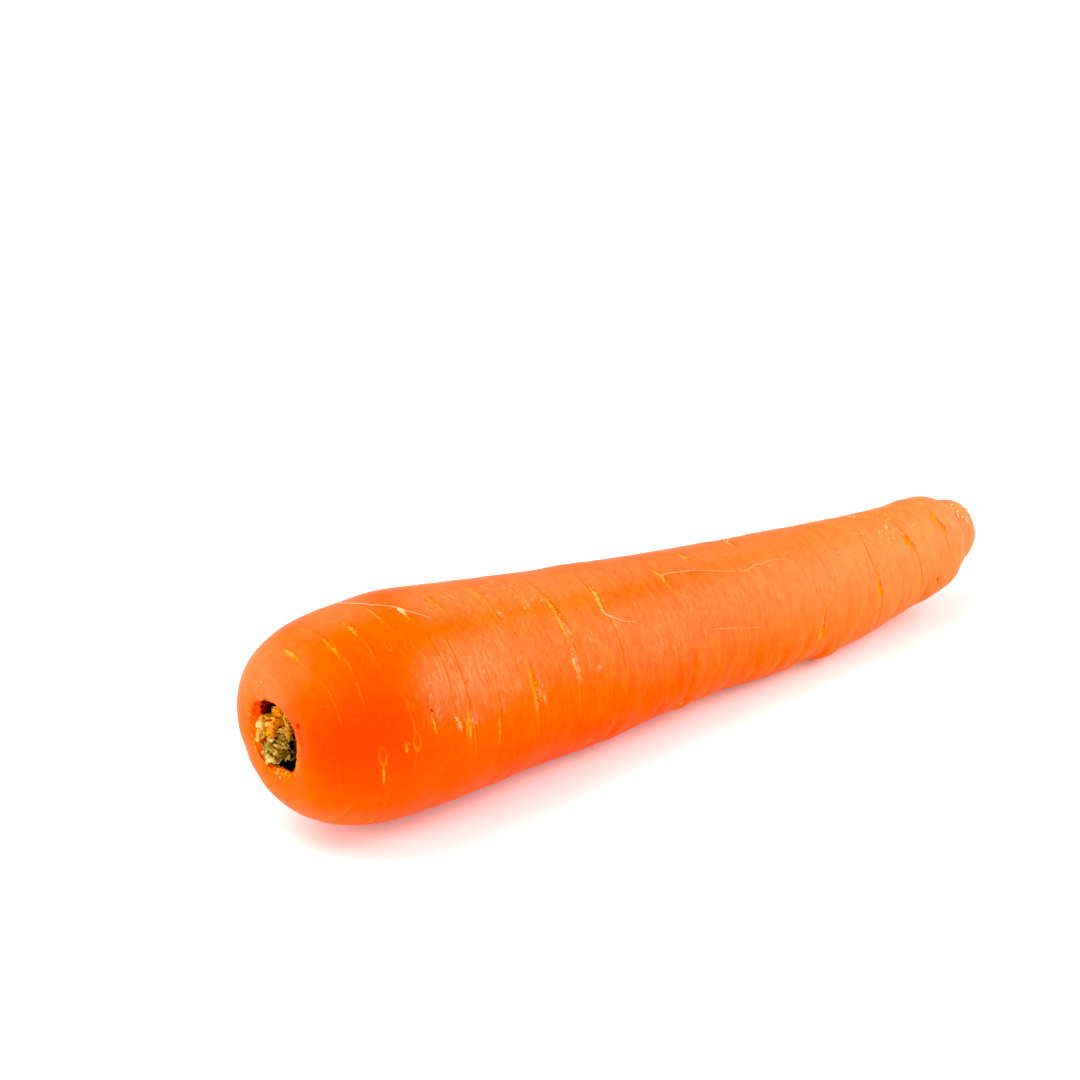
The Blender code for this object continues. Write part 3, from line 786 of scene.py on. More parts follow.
def add_mesh(name, points, faces, material, fields):
    """A smooth-shaded object from points in mm, its faces and its named fields."""
    mesh = bpy.data.meshes.new(name)
    mesh.from_pydata(scaled(points).tolist(), [], faces)
    mesh.update()
    mesh.shade_smooth()
    for field, values in fields.items():
        flat = np.asarray(values, dtype=np.float32)
        kind = "FLOAT_VECTOR" if flat.ndim == 2 else "FLOAT"
        attribute = mesh.attributes.new(field, kind, "POINT")
        attribute.data.foreach_set("vector" if flat.ndim == 2 else "value", flat.ravel())
    mesh.materials.append(material)
    piece = bpy.data.objects.new(name, mesh)
    bpy.context.scene.collection.objects.link(piece)
    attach(piece, "root")
    return piece


def tube(path, sizes, sides, flat=1.0, turn=0.0, wide=None):
    """Points and faces of a closed tapering tube along a path, in mm, wide in one direction."""
    path = np.asarray(path, dtype=float)
    heading = np.gradient(path, axis=0)
    heading /= np.linalg.norm(heading, axis=1, keepdims=True)
    side = np.cross(heading, ASIDE)
    if wide is not None:
        side = np.broadcast_to(wide, heading.shape)
    side = side / np.linalg.norm(side, axis=1, keepdims=True)
    up = np.cross(side, heading)
    around = np.linspace(0.0, 2 * math.pi, sides, endpoint=False) + turn
    ring_side = np.cos(around)[None, :, None] * side[:, None, :]
    ring_up = np.sin(around)[None, :, None] * up[:, None, :] * flat
    rings = path[:, None, :] + (ring_side + ring_up) * np.asarray(sizes)[:, None, None]
    points = np.concatenate([rings.reshape(-1, 3), path[:1], path[-1:]])
    faces = grid_faces(len(path), sides)
    start, end = len(points) - 2, len(points) - 1
    last = (len(path) - 1) * sides
    for index in range(sides):
        after = (index + 1) % sides
        faces.append([start, index, after])
        faces.append([end, last + after, last + index])
    return points, faces


class Heap:
    """Many small closed shapes gathered into one mesh, with a tone for each point."""

    def __init__(self):
        self.points = []
        self.faces = []
        self.tones = []
        self.count = 0

    def add(self, points, faces, tones):
        """Adds one shape; tones is one (pale, gold, painted light) row or a row for each point."""
        self.points.append(points)
        self.faces += [[corner + self.count for corner in face] for face in faces]
        self.tones.append(np.broadcast_to(np.asarray(tones, dtype=float), (len(points), 3)))
        self.count += len(points)

    def build(self, name, material):
        """The gathered shapes as one piece."""
        points = np.concatenate(self.points)
        tones = np.concatenate(self.tones)
        return add_mesh(name, points, self.faces, material, {"tone": tones})


# ---------------------------------------------------------------------------
# Material helpers
# ---------------------------------------------------------------------------

class Value:
    """A number, place or colour that nodes work out, used in formulas like a plain number."""

    def __init__(self, graph, socket):
        self.graph = graph
        self.socket = socket

    def step(self, operation, other=0.0):
        """One arithmetic step."""
        return self.graph.add("ShaderNodeMath", {0: self, 1: other}, operation=operation)

    def __add__(self, other):
        return self.step("ADD", other)

    def __sub__(self, other):
        return self.step("SUBTRACT", other)

    def __rsub__(self, other):
        return self.graph.add("ShaderNodeMath", {0: other, 1: self}, operation="SUBTRACT")

    def __mul__(self, other):
        return self.step("MULTIPLY", other)

    def __truediv__(self, other):
        return self.step("DIVIDE", other)

    def __abs__(self):
        return self.step("ABSOLUTE")

    def ramp(self, low, high, to_low=0.0, to_high=1.0):
        """The value carried smoothly from one range to another."""
        inputs = {"Value": self, "From Min": low, "From Max": high}
        inputs.update({"To Min": to_low, "To Max": to_high})
        return self.graph.add("ShaderNodeMapRange", inputs, interpolation_type="SMOOTHSTEP")


def length(across, over):
    """Length of the long side of a right-angled triangle."""
    return (across * across + over * over).step("SQRT")


class Graph:
    """Builds the nodes of one material, whose colour so far is its tone."""

    def __init__(self, name):
        self.material = bpy.data.materials.new(name)
        self.material.use_nodes = True
        self.tree = self.material.node_tree
        self.shader = self.tree.nodes["Principled BSDF"]
        self.tone = None
        source = self.add("ShaderNodeTexCoord", {}, "Object")
        inputs = {0: source, "Scale": 1 / MM}
        self.places = self.add("ShaderNodeVectorMath", inputs, operation="SCALE")

    def feed(self, socket, value):
        """Sets a socket to a constant, or links it to a worked-out value."""
        if isinstance(value, Value):
            self.tree.links.new(value.socket, socket)
        else:
            socket.default_value = value

    def node(self, kind, inputs, **settings):
        """Adds a node with its settings and inputs."""
        node = self.tree.nodes.new(kind)
        for key, value in settings.items():
            setattr(node, key, value)
        for socket, value in inputs.items():
            self.feed(node.inputs[socket], value)
        return node

    def add(self, kind, inputs, output=0, **settings):
        """One output of a new node."""
        return Value(self, self.node(kind, inputs, **settings).outputs[output])

    def mix(self, share, first, second):
        """Two colours mixed, each worked out or plain (red, green, blue)."""
        inputs = {0: share}
        for socket, tone in ((6, first), (7, second)):
            inputs[socket] = tone if isinstance(tone, Value) else (*tone, 1.0)
        return self.add("ShaderNodeMix", inputs, 2, data_type="RGBA")

    def coat(self, share, tone):
        """Lays a share of a colour over the colour so far."""
        self.tone = self.mix(share, self.tone, tone)

    def coats(self, *rows):
        """Lays coats where noise goes from low to high: (noise, low, high, share, colour)."""
        for noise, low, high, share, tone in rows:
            self.coat(noise.ramp(low, high) * share, tone)

    def slanted(self, turn, scale):
        """Positions in mm turned about the root's length by some degrees, then scaled."""
        inputs = {"Vector": self.places, "Angle": math.radians(turn)}
        turned = self.add("ShaderNodeVectorRotate", inputs, rotation_type="X_AXIS")
        return self.add("ShaderNodeVectorMath", {0: turned, 1: scale}, operation="MULTIPLY")

    def noise(self, scale, detail=2.0, roughness=0.5, distortion=0.0, places=None):
        """Noise from 0 to 1, with one scale or with (scale along the root, scale round it)."""
        places = places or self.places
        if isinstance(scale, tuple):
            inputs = {0: places, 1: (scale[0], scale[1], scale[1])}
            places = self.add("ShaderNodeVectorMath", inputs, operation="MULTIPLY")
            scale = 1.0
        inputs = {"Vector": places, "Scale": scale, "Detail": detail}
        inputs.update({"Roughness": roughness, "Distortion": distortion})
        return self.add("ShaderNodeTexNoise", inputs)

    def field(self, name):
        """The three parts of a mesh field."""
        source = self.add("ShaderNodeAttribute", {}, "Vector", attribute_name=name)
        parts = self.node("ShaderNodeSeparateXYZ", {0: source})
        return [Value(self, part) for part in parts.outputs]

    def amount(self, name):
        """A mesh field of single values."""
        return self.add("ShaderNodeAttribute", {}, "Fac", attribute_name=name)

    def finish(self, height=None, **inputs):
        """The material: its relief in mm and its shader's sockets, spaces as underscores."""
        inputs["Base_Color"] = self.tone
        if height is not None:
            relief_inputs = {"Height": height, "Distance": MM, "Strength": 1.0}
            inputs["Normal"] = self.add("ShaderNodeBump", relief_inputs)
        for name, value in inputs.items():
            self.feed(self.shader.inputs[name.replace("_", " ")], value)
        return self.material


# ---------------------------------------------------------------------------
# Materials
# ---------------------------------------------------------------------------

class SkinLook(Graph):
    """Carrot skin: orange with growth rings, scars, flecks and a painted highlight band, and a
    torn socket darkened by painted shade.
    """

    def __init__(self):
        super().__init__("carrot_skin_look")
        self.blotch = self.noise((0.12, 0.05), 3.0, 0.6)
        self.streak = self.noise((0.9, 0.24), 3.0, 0.6, 0.8)
        self.hair = self.noise((2.8, 0.55), 3.0, 0.65, 0.9)
        self.grain = self.noise(4.5, 2.0, 0.6)
        self.rough_edge = self.noise(2.2, 3.0, 0.65) - 0.5
        self.ring_across, self.ring_strength, self.tail = self.field("ring_place")
        # deeper orange that is partly painted shade, painted sheen, and pale specks
        self.flush, self.sheen, self.specks = self.field("tint_and_sheen")
        # painted shade inside the socket, torn flesh, and red stains with painted light on the far
        # wall
        self.inside, self.torn, self.stain_and_lit_wall = self.field("socket")
        # fine hairs: real relief, with painted glints and shade in their colour
        self.fuzz_and_glints = self.amount("fuzz_and_glints") * self.noise(0.22, 2.0, 0.6).ramp(0.36, 0.6, 0.35, 1.0)
        self.height = self.grain * 0.008
        self.height += self.streak * (self.tail * 0.05 + 0.05)
        self.height += self.hair * (self.fuzz_and_glints * 0.1 + 0.02)
        self.roughness = (self.streak - 0.5) * 0.18 + 0.4
        self.roughness += self.sheen * 0.05 + (self.torn + self.inside) * 0.3

    def oranges(self):
        """The plain colour and the ways in which it varies."""
        broad = self.noise(0.035).ramp(0.32, 0.68)
        self.tone = self.mix(broad, (1.0, 0.088, 0.0008), (1.0, 0.12, 0.0012))
        mottle = self.noise(0.5, 4.0, 0.65)
        wear = self.amount("wear")
        band = self.noise((0.5, 0.14), 3.0, 0.6, 0.7)
        thread = self.noise((1.7, 0.16), 3.0, 0.65, 0.6)
        self.coats(
            (self.blotch, 0.45, 0.8, 0.35, (1.0, 0.15, 0.002)),
            (self.streak, 0.5, 0.8, 0.22, (1.0, 0.17, 0.004)),
            (mottle, 0.48, 0.68, 0.35, (1.0, 0.165, 0.008)),
            (mottle, 0.5, 0.32, 0.3, (1.0, 0.072, 0.0006)),
            (band, 0.5, 0.66, wear * 0.8, (1.0, 0.16, 0.004)),
            (band, 0.48, 0.34, wear * 0.7, (1.0, 0.085, 0.0006)),
            (thread, 0.54, 0.68, wear * 0.6, (1.0, 0.185, 0.01)),
            (thread, 0.46, 0.34, wear * 0.6, (1.0, 0.075, 0.0006)),
        )
        # deeper orange, partly the skin's own tone and partly painted shade
        self.coat(self.flush * 0.9, (1.0, 0.046, 0.0002))
        speckle = self.noise(2.3, 3.0, 0.7)
        self.coats(
            (speckle, 0.54, 0.7, 0.3, (1.0, 0.16, 0.01)),
            (speckle, 0.46, 0.32, 0.3, (0.95, 0.04, 0.0004)),
        )

    def painted_sheen_tail_and_fold(self):
        """A band of painted highlight along the top with its fine hairs, the paler tail, and
        painted shade in the fold at its nub.
        """
        # painted sheen: a paler peach band where the light falls along the upper side
        band = self.sheen * self.streak.ramp(0.3, 0.7, 0.4, 0.7)
        self.coat(band.step("MINIMUM", 1.0), (1.0, 0.24, 0.105))
        # painted glints along the hairs, and painted shade between them
        self.coats(
            (self.hair, 0.52, 0.64, self.fuzz_and_glints * 0.66, (1.0, 0.36, 0.13)),
            (self.hair, 0.46, 0.35, self.fuzz_and_glints * 0.62, (1.0, 0.085, 0.002)),
        )
        self.coat(self.tail * self.streak.ramp(0.3, 0.7, 0.25, 0.5), (1.0, 0.25, 0.05))
        # painted shade in the fold at the nub
        crease_shade = self.amount("crease_shade") * self.grain.ramp(0.2, 0.6, 0.45, 0.8)
        self.coat(crease_shade, (0.92, 0.115, 0.035))

    def rings(self):
        """Growth rings: a thin, lighter, broken line and painted groove shade as a darker line
        next to it.
        """
        off = abs(self.ring_across + self.rough_edge * 0.5)
        broken = self.streak.ramp(0.3, 0.6) * self.blotch.ramp(0.32, 0.58)
        line = off.ramp(0.3, 0.05) * self.ring_strength * broken
        self.coat(line * 0.55, (1.0, 0.3, 0.03))
        # painted shade of the groove, as a darker line next to the ring
        groove_shade = abs(self.ring_across - 0.42).ramp(0.32, 0.0)
        groove_shade *= self.ring_strength * self.blotch.ramp(0.34, 0.52)
        self.coat(groove_shade * 0.75, (0.85, 0.055, 0.001))
        self.height += off.ramp(0.5, 0.0) * self.ring_strength * -0.06

    def long_scars(self):
        """Long scars: golden with ragged edges, painted shade as a dark line next to them, and
        pale chips.
        """
        u, v, near = self.field("line_place")
        pale, ragged = self.field("line_look")[:2]
        jagged = v + self.rough_edge * ragged * 6.0
        off = abs(jagged)
        here = (abs(u) + self.rough_edge).ramp(1.1, 0.65) * near
        width = self.noise(1.1, 3.0, 0.7).ramp(0.34, 0.6, 0.25, 1.15)
        width *= abs(u).ramp(0.1, 1.05, 1.25, 0.35)
        core = (off / width).ramp(1.25, 0.55) * here * width.ramp(0.25, 0.55)
        chips = v.ramp(-0.4, 0.8) * v.ramp(3.4, 1.6) * here
        chips *= self.noise(2.6, 2.0, 0.6).ramp(0.6, 0.67) * pale.ramp(0.2, 0.8, 0.25, 1.0)
        self.coat(off.ramp(3.2, 0.8) * here * 0.35, (1.0, 0.2, 0.004))
        # painted shade: a dark line along one side of the scar, for its relief
        self.coat(abs(jagged - 1.7).ramp(1.0, 0.1) * here * 0.55, (0.85, 0.055, 0.0008))
        self.scrapes()
        gold = self.mix(pale, (1.0, 0.26, 0.003), (1.0, 0.6, 0.12))
        self.coat(core * self.grain.ramp(0.3, 0.6, 0.6, 1.0), gold)
        self.coat(chips * 0.9, (1.0, 0.66, 0.33))
        self.height += core * self.grain.ramp(0.2, 0.8, 0.06, -0.16)
        self.height += abs(off - 2.0).ramp(1.2, 0.0) * here * 0.05 + chips * 0.1
        self.roughness += core * 0.2

    def scrapes(self):
        """Rough pinkish patches."""
        u, v, near = self.field("scrape_place")
        edge = length(u, v) + self.rough_edge * 1.6
        crumbs = self.noise((2.6, 1.1), 3.0, 0.7).ramp(0.44, 0.58)
        scrape = edge.ramp(1.2, 0.5) * near * crumbs
        self.coat(scrape * 0.75, (1.0, 0.4, 0.17))
        self.height += scrape * 0.08

    def oval_scars(self):
        """Oval scars: a broken outline, filled with gold or with a dark hollow."""
        u, v, near = self.field("eye_place")
        filling, pale = self.field("eye_look")[:2]
        edge = length(u, v) + self.rough_edge * 0.9
        outline = abs(edge - 0.9).ramp(0.32, 0.08) * near * self.grain.ramp(0.3, 0.62)
        outline *= u.ramp(-0.9, 0.7, 0.25, 1.0)
        filled = edge.ramp(1.0, 0.55) * filling.ramp(0.55, 0.95) * near
        mark = (outline * pale.ramp(0.0, 0.4, 0.25, 0.8)).step("MAXIMUM", filled)
        gold = self.mix(pale.ramp(0.4, 0.9), (1.0, 0.3, 0.004), (1.0, 0.8, 0.45))
        self.coat(mark, gold)
        hollow = edge.ramp(0.75, 0.25) * near * filling.ramp(0.9, 0.5)
        self.coat(hollow * filling.ramp(0.0, 0.5, 0.2, 0.85), (0.7, 0.06, 0.0008))
        self.height += outline * 0.07
        self.height += edge.ramp(0.9, 0.3) * near * (0.4 - filling) * -0.12

    def specks_and_flecks(self):
        """Small red and brown specks, and pale flecks."""
        u, v, near = self.field("dot_place")
        dot = (length(u, v) + self.rough_edge).ramp(1.1, 0.6) * near.ramp(0.0, 0.4)
        tone = self.mix(near.ramp(0.6, 0.9), (0.75, 0.003, 0.0002), (0.32, 0.012, 0.004))
        self.coat(dot * 0.97, tone)
        fleck = self.specks * self.noise(0.95, 3.0, 0.75).ramp(0.63, 0.68)
        self.coat(fleck * 0.85, (1.0, 0.6, 0.3))
        self.height += fleck * 0.05

    def socket(self):
        """Red stains round the socket, torn flesh on its rim, painted shade inside and painted
        light on its far wall.
        """
        worn = self.noise(0.9, 3.0, 0.6) + self.rough_edge * 0.5
        stained = (self.stain_and_lit_wall * worn.ramp(0.22, 0.48)).step("MINIMUM", 0.85)
        self.coat(stained, (0.96, 0.062, 0.0004))
        deep = self.stain_and_lit_wall.ramp(0.45, 0.8) * worn.ramp(0.5, 0.62)
        self.coat(deep * 0.9, (0.8, 0.02, 0.0002))
        flesh = self.mix(worn.ramp(0.35, 0.65), (0.9, 0.07, 0.001), (1.0, 0.27, 0.015))
        flesh = self.mix(self.grain.ramp(0.58, 0.7), flesh, (1.0, 0.7, 0.3))
        self.coat(self.torn, flesh)
        # painted shade inside the socket, lifted to red brown by painted light on its far wall
        dark = self.mix(worn.ramp(0.4, 0.75), (0.01, 0.005, 0.002), (0.12, 0.035, 0.006))
        lit_wall = self.stain_and_lit_wall.ramp(0.1, 0.4) * (worn + self.grain).ramp(0.85, 1.15)
        dark = self.mix(lit_wall, dark, (0.42, 0.085, 0.012))
        self.coat((self.inside + self.rough_edge * 1.3).ramp(0.25, 0.65), dark)
        self.height += (self.torn + self.inside) * worn * 0.5


def skin_material():
    """Carrot skin, its layers laid from the plain colour up to the painted shade in the socket."""
    look = SkinLook()
    look.oranges()
    look.painted_sheen_tail_and_fold()
    look.rings()
    look.long_scars()
    look.oval_scars()
    look.specks_and_flecks()
    look.socket()
    return look.finish(
        look.height,
        Roughness=look.roughness.step("MINIMUM", 0.9),
        IOR=1.35,
        Specular_IOR_Level=0.12,
        Specular_Tint=(1.0, 0.6, 0.3, 1.0),
        Subsurface_Weight=0.12,
        Subsurface_Radius=(1.0, 0.35, 0.1),
        Subsurface_Scale=0.002,
    )


def stalk_material():
    """Torn leaf stalk bases: fibrous olive green to cream, with orange near the flesh, and painted
    shade between fibres and deep in the socket.
    """
    g = Graph("leaf_stalk_look")
    fibre = g.noise(1.0, 3.0, 0.65, 0.6, g.slanted(-FIBRE_SLANT, (0.8, 0.7, 3.4)))
    mottle = g.noise(1.1, 3.0, 0.6)
    # the tone's third part is painted light: how much light reaches each point
    pale, gold, tip = g.field("tone")
    olive = g.mix(fibre.ramp(0.35, 0.65), (0.15, 0.09, 0.002), (0.68, 0.47, 0.06))
    cream = g.mix(fibre.ramp(0.35, 0.65), (0.9, 0.44, 0.12), (1.0, 0.76, 0.42))
    amber = g.mix(mottle.ramp(0.35, 0.65), (1.0, 0.22, 0.001), (1.0, 0.42, 0.008))
    g.tone = g.mix(pale, olive, cream)
    g.coat(gold * mottle.ramp(0.3, 0.55, 0.75, 1.0), amber)
    # painted shade in the crevices between fibres
    crevice_shade = fibre.ramp(0.4, 0.26) * (1.0 - gold * 0.7)
    g.coat(crevice_shade * 0.8, (0.05, 0.022, 0.001))
    # painted shade: near black where little light reaches
    g.coat(tip.ramp(0.6, 0.05, 0.0, 0.97), (0.01, 0.007, 0.002))
    return g.finish(
        fibre * 0.22 + mottle * 0.1,
        Roughness=fibre.ramp(0.2, 0.8, 0.55, 0.75),
        Specular_IOR_Level=0.3,
    )


def rootlet_material():
    """Fine rootlets: pale orange to cream."""
    g = Graph("rootlet_look")
    mottle = g.noise(0.9, 2.0, 0.6)
    pale, gold = g.field("tone")[:2]
    g.tone = g.mix(mottle.ramp(0.35, 0.65), (1.0, 0.28, 0.05), (1.0, 0.42, 0.12))
    g.coat(pale, (1.0, 0.85, 0.55))
    g.coat(gold, (1.0, 0.4, 0.02))
    return g.finish(
        g.noise(6.0, 2.0, 0.6) * 0.05,
        Roughness=mottle.ramp(0.3, 0.7, 0.45, 0.62),
        Specular_IOR_Level=0.35,
    )


def floor_material():
    """The pale floor, very nearly plain."""
    g = Graph("floor_look")
    g.tone = g.mix(g.noise(0.02), (0.86, 0.86, 0.86), (0.9, 0.9, 0.9))
    return g.finish(
        Roughness=0.8,
        Specular_IOR_Level=0.1,
        Emission_Color=(1.0, 1.0, 1.0, 1.0),
        Emission_Strength=0.14,
    )


# ---------------------------------------------------------------------------
# The pieces
# ---------------------------------------------------------------------------

def stain_power(angle):
    """How red the flesh and skin are stained at an angle of the socket's rim."""
    return np.maximum(0.9 * side_of(angle, *STAINED), 0.45 * side_of(angle, *STAIN_BELOW))


def socket_wall(angle):
    """Points of the socket from its floor up to its lip, with its field of looks: painted shade,
    torn flesh, and red stains with painted light on the far wall.
    """
    shares = [(depth * SOCKET_DEPTH, width) for depth, width in reversed(SOCKET_WALL)]
    order = np.linspace(0.0, len(shares) - 1, SOCKET_ROWS)
    depth = np.interp(order, range(len(shares)), [share[0] for share in shares])[:, None]
    width = np.interp(order, range(len(shares)), [share[1] for share in shares])[:, None]
    crumbs = cloud(round_points(depth * 1.1, angle, 1.0, 0.7), 22)
    fine = cloud(round_points(depth * 2.6, angle, 1.0, 1.9), 23)
    bulge = side_of(angle, *BULGE) * smooth_step(3.2, 0.4, depth)
    flesh = 0.9 * side_of(angle, *TORN_WALL) * smooth_step(1.6, 0.3, depth)
    flesh = np.maximum(flesh, bulge)
    wider = sum(step * side_of(angle, middle, reach) for middle, reach, step in SOCKET_OUTLINE)
    rough = 0.25 * crumbs + 0.15 * fine + wider - bulge * (0.9 + 0.8 * np.abs(fine))
    points = socket_points(depth, width, angle, rough)

    dark_at = DARK_DEPTH + sum(more * side_of(angle, *side) for more, *side in LIT_DEEPER)
    # painted shade, deeper inside, none on torn flesh
    inside = smooth_step(0.05, dark_at, depth) - 1.1 * flesh
    # torn flesh along the near rim as a painted highlight on its edge
    near_rim_highlight = 0.5 * side_of(angle, *NEAR_RIM_HIGHLIGHT) * smooth_step(0.8, 0.2, depth)
    torn = np.clip(flesh + near_rim_highlight, 0.0, 1.0)
    # painted light on the far wall, carried with the red stains
    lit = 0.6 * side_of(angle, *LIT_WALL) * smooth_step(3.4, 2.2, depth)
    stain_and_lit_wall = np.maximum(stain_power(angle) * smooth_step(2.0, 0.3, depth), lit)
    return points, stacked(inside, torn, stain_and_lit_wall)


def patches(rows, distance, angle):
    """The strongest of several soft patches at each place."""
    shown = []
    for spot, middle, reach, turn_reach, strength in rows:
        here = side_of(angle, middle, turn_reach) * bell((distance - spot) / reach)
        shown.append(strength * here)
    return np.maximum.reduce(shown)


def skin_tones(arc, angle):
    """Fields of the skin's tones: (deeper orange partly painted shade, painted highlight band,
    pale specks), hairs with painted glints, and wear.
    """
    distance = np.interp(arc, ARCS, DISTANCES)
    # painted sheen: a band on the upper side, one along its top and one on the back
    band = side_of(angle, along(PAINTED_SHEEN, 1, distance), along(PAINTED_SHEEN, 2, distance))
    upper = smooth_step(*UPPER_STARTS, distance) * smooth_step(*UPPER_ENDS, distance)
    back_middle = 22.0 + 12.0 * np.sin(distance / 23.0)
    sheen = np.maximum.reduce([
        band * along(PAINTED_SHEEN, 3, distance),
        0.5 * side_of(angle, *UPPER_SHEEN_BAND) * upper,
        0.6 * side_of(angle, back_middle, 30.0) * smooth_step(*BACK_STARTS, distance),
    ])
    # hairs with painted glints follow the painted sheen, and the scratched patch
    fuzz_and_glints = sheen * smooth_step(*FUZZ_STARTS, distance)
    fuzz_and_glints = fuzz_and_glints * (1.15 - 0.75 * smooth_step(*FUZZ_THINS, distance))
    fuzz_and_glints = np.maximum(fuzz_and_glints, patches(SCRATCHED, distance, angle))
    by_stain = side_of(angle, *DULL_BY_STAIN) * bell(arc / 2.4)
    # painted light on the crown joins the painted sheen, which is dulled by the red stain
    sheen = np.maximum(sheen, patches(CROWN_PAINTED_LIGHT, distance, angle)) * (1 - 0.9 * by_stain)
    nub_specks = side_of(angle, *SPECKLED_NUB) * smooth_step(*NUB_STARTS, distance)
    specks = np.maximum(patches(SPECKS, distance, angle), nub_specks)
    wear = smooth_step(*WEAR_STARTS, distance) * (0.45 + 0.55 * side_of(angle, *WORN_SIDE))
    return {
        "tint_and_sheen": stacked(patches(FLUSH_AND_SHADE, distance, angle), sheen, specks),
        "fuzz_and_glints": fuzz_and_glints,
        "wear": wear,
    }


def outer_skin(angle):
    """Points of the skin from the socket's lip to the tail, with its fields."""
    arc = np.linspace(0.0, ARCS[-1], int(ARCS[-1] / ROWS_EVERY))[:-1, None]
    height, fields = relief(arc, angle)
    rag = cloud(round_points(arc * 1.4, angle, 1.0, 0.9), 21)
    ragged = np.maximum.reduce([side_of(angle, *side) for side in RAGGED_RIM])
    height = height + bell(arc / 1.2) * rag * (0.05 + 0.3 * ragged)
    fields.update(skin_tones(arc, angle))
    # torn flesh at the lip, laid thin along the near rim as a painted highlight
    torn = bell(arc / 0.45) * (0.2 * side_of(angle, *NEAR_RIM_HIGHLIGHT) + 0.9 * side_of(angle, *TORN_RIM))
    stain_and_lit_wall = bell(arc / (0.4 + 0.5 * side_of(angle, *STAINED))) * stain_power(angle)
    fields["socket"] = stacked(0.0, torn, stain_and_lit_wall)
    return skin_points(arc, angle, height), fields


def make_root(material):
    """The root's skin, from the middle of its socket's floor to the tail's tip."""
    angle = SEAM + 360.0 * np.arange(AROUND)[None, :] / AROUND
    wall, wall_look = socket_wall(angle)
    skin, fields = outer_skin(angle)
    points = np.concatenate([wall, skin])
    rows, columns = points.shape[:2]
    for name, looks in fields.items():
        blank = np.zeros(wall.shape[:2] + looks.shape[2:])
        if name in MARK_PLACES:
            blank[..., :2] = FAR_OFF
        looks = np.concatenate([wall_look if name == "socket" else blank, looks])
        ends = [looks[0].mean(axis=0), looks[-1].mean(axis=0)]
        fields[name] = np.concatenate([looks.reshape((-1,) + looks.shape[2:]), ends])

    floor = points[0].mean(axis=0)
    tip = skin_points(np.array([[ARCS[-1]]]), np.array([[0.0]]), 0.0)[0, 0]
    flat = np.concatenate([points.reshape(-1, 3), [floor, tip]])
    faces = grid_faces(rows, columns)
    middle, end, last = rows * columns, rows * columns + 1, (rows - 1) * columns
    after = [(index + 1) % columns for index in range(columns)]
    faces += [[middle, index, after[index]] for index in range(columns)]
    faces += [[end, last + after[index], last + index] for index in range(columns)]
    root = add_mesh("root_skin", flat, faces, material, fields)
    unwrap_root(root, rows, columns)
    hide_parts("root")


def unwrap_root(root, rows, columns):
    """Unrolls the root flat, with one seam below."""
    mesh = root.data
    layer = mesh.uv_layers.new(name="OFBake")
    corners = np.empty(len(mesh.loops), dtype=np.int64)
    mesh.loops.foreach_get("vertex_index", corners)
    row = corners // columns
    column = corners % columns
    ends = corners >= rows * columns
    row = np.where(ends, np.where(corners == rows * columns, -1, rows), row)
    faces = np.repeat(np.arange(len(mesh.polygons)), [face.loop_total for face in mesh.polygons])
    highest = np.zeros(len(mesh.polygons), dtype=np.int64)
    np.maximum.at(highest, faces[~ends], column[~ends])
    wrapped = (highest[faces] == columns - 1) & (column == 0) & ~ends
    column = np.where(wrapped, columns, column).astype(float)
    column = np.where(ends, highest[faces] - 0.5, column)
    places = np.stack([column / columns, (row + 1) / (rows + 1)], axis=1)
    places = places * (1 - 2 * UV_MARGIN) + UV_MARGIN
    layer.data.foreach_set("uv", places.astype(np.float32).ravel())
    mesh.uv_layers.active = layer


def cluster_points(height, sideways, up):
    """Points in mm above the socket's floor."""
    depth = SOCKET_DEPTH - CLUSTER_CLEARANCE - height
    y = along(CENTRE_LINE, 1, depth) + CLUSTER_SIDEWAYS + sideways
    z = along(CENTRE_LINE, 2, depth) + CLUSTER_UP + up * CLUSTER_STRETCH
    return stacked(depth, y, z - RESTING_DEPTH)


def torn_top(stalk, share, sideways, up):
    """Height of a stalk base's torn top, at a share of the way up."""
    radii, _, _, height, slope = stalk
    return height * share + slope * share * (sideways + up) / radii[1]


def daylight(points):
    """How much light reaches points in the socket: little when deep or behind the near rim."""
    depth = points[..., 0]
    across = points[..., 1] - SOCKET_MIDDLE[0]
    turn = np.degrees(np.arctan2(points[..., 2] - SOCKET_MIDDLE[1], across))
    near = side_of(turn, *SHADED_WALL) * smooth_step(0.5, 2.6, depth)
    return smooth_step(*LIGHT_REACH, depth) * (1 - 0.85 * near)


def lower_left(angle, size):
    """How many mm the torn cluster spreads towards its lower left side."""
    return SPREAD * side_of(angle, *SPREAD_SIDE) * np.clip(size / OUTER_RING[1], 0.0, 1.1)


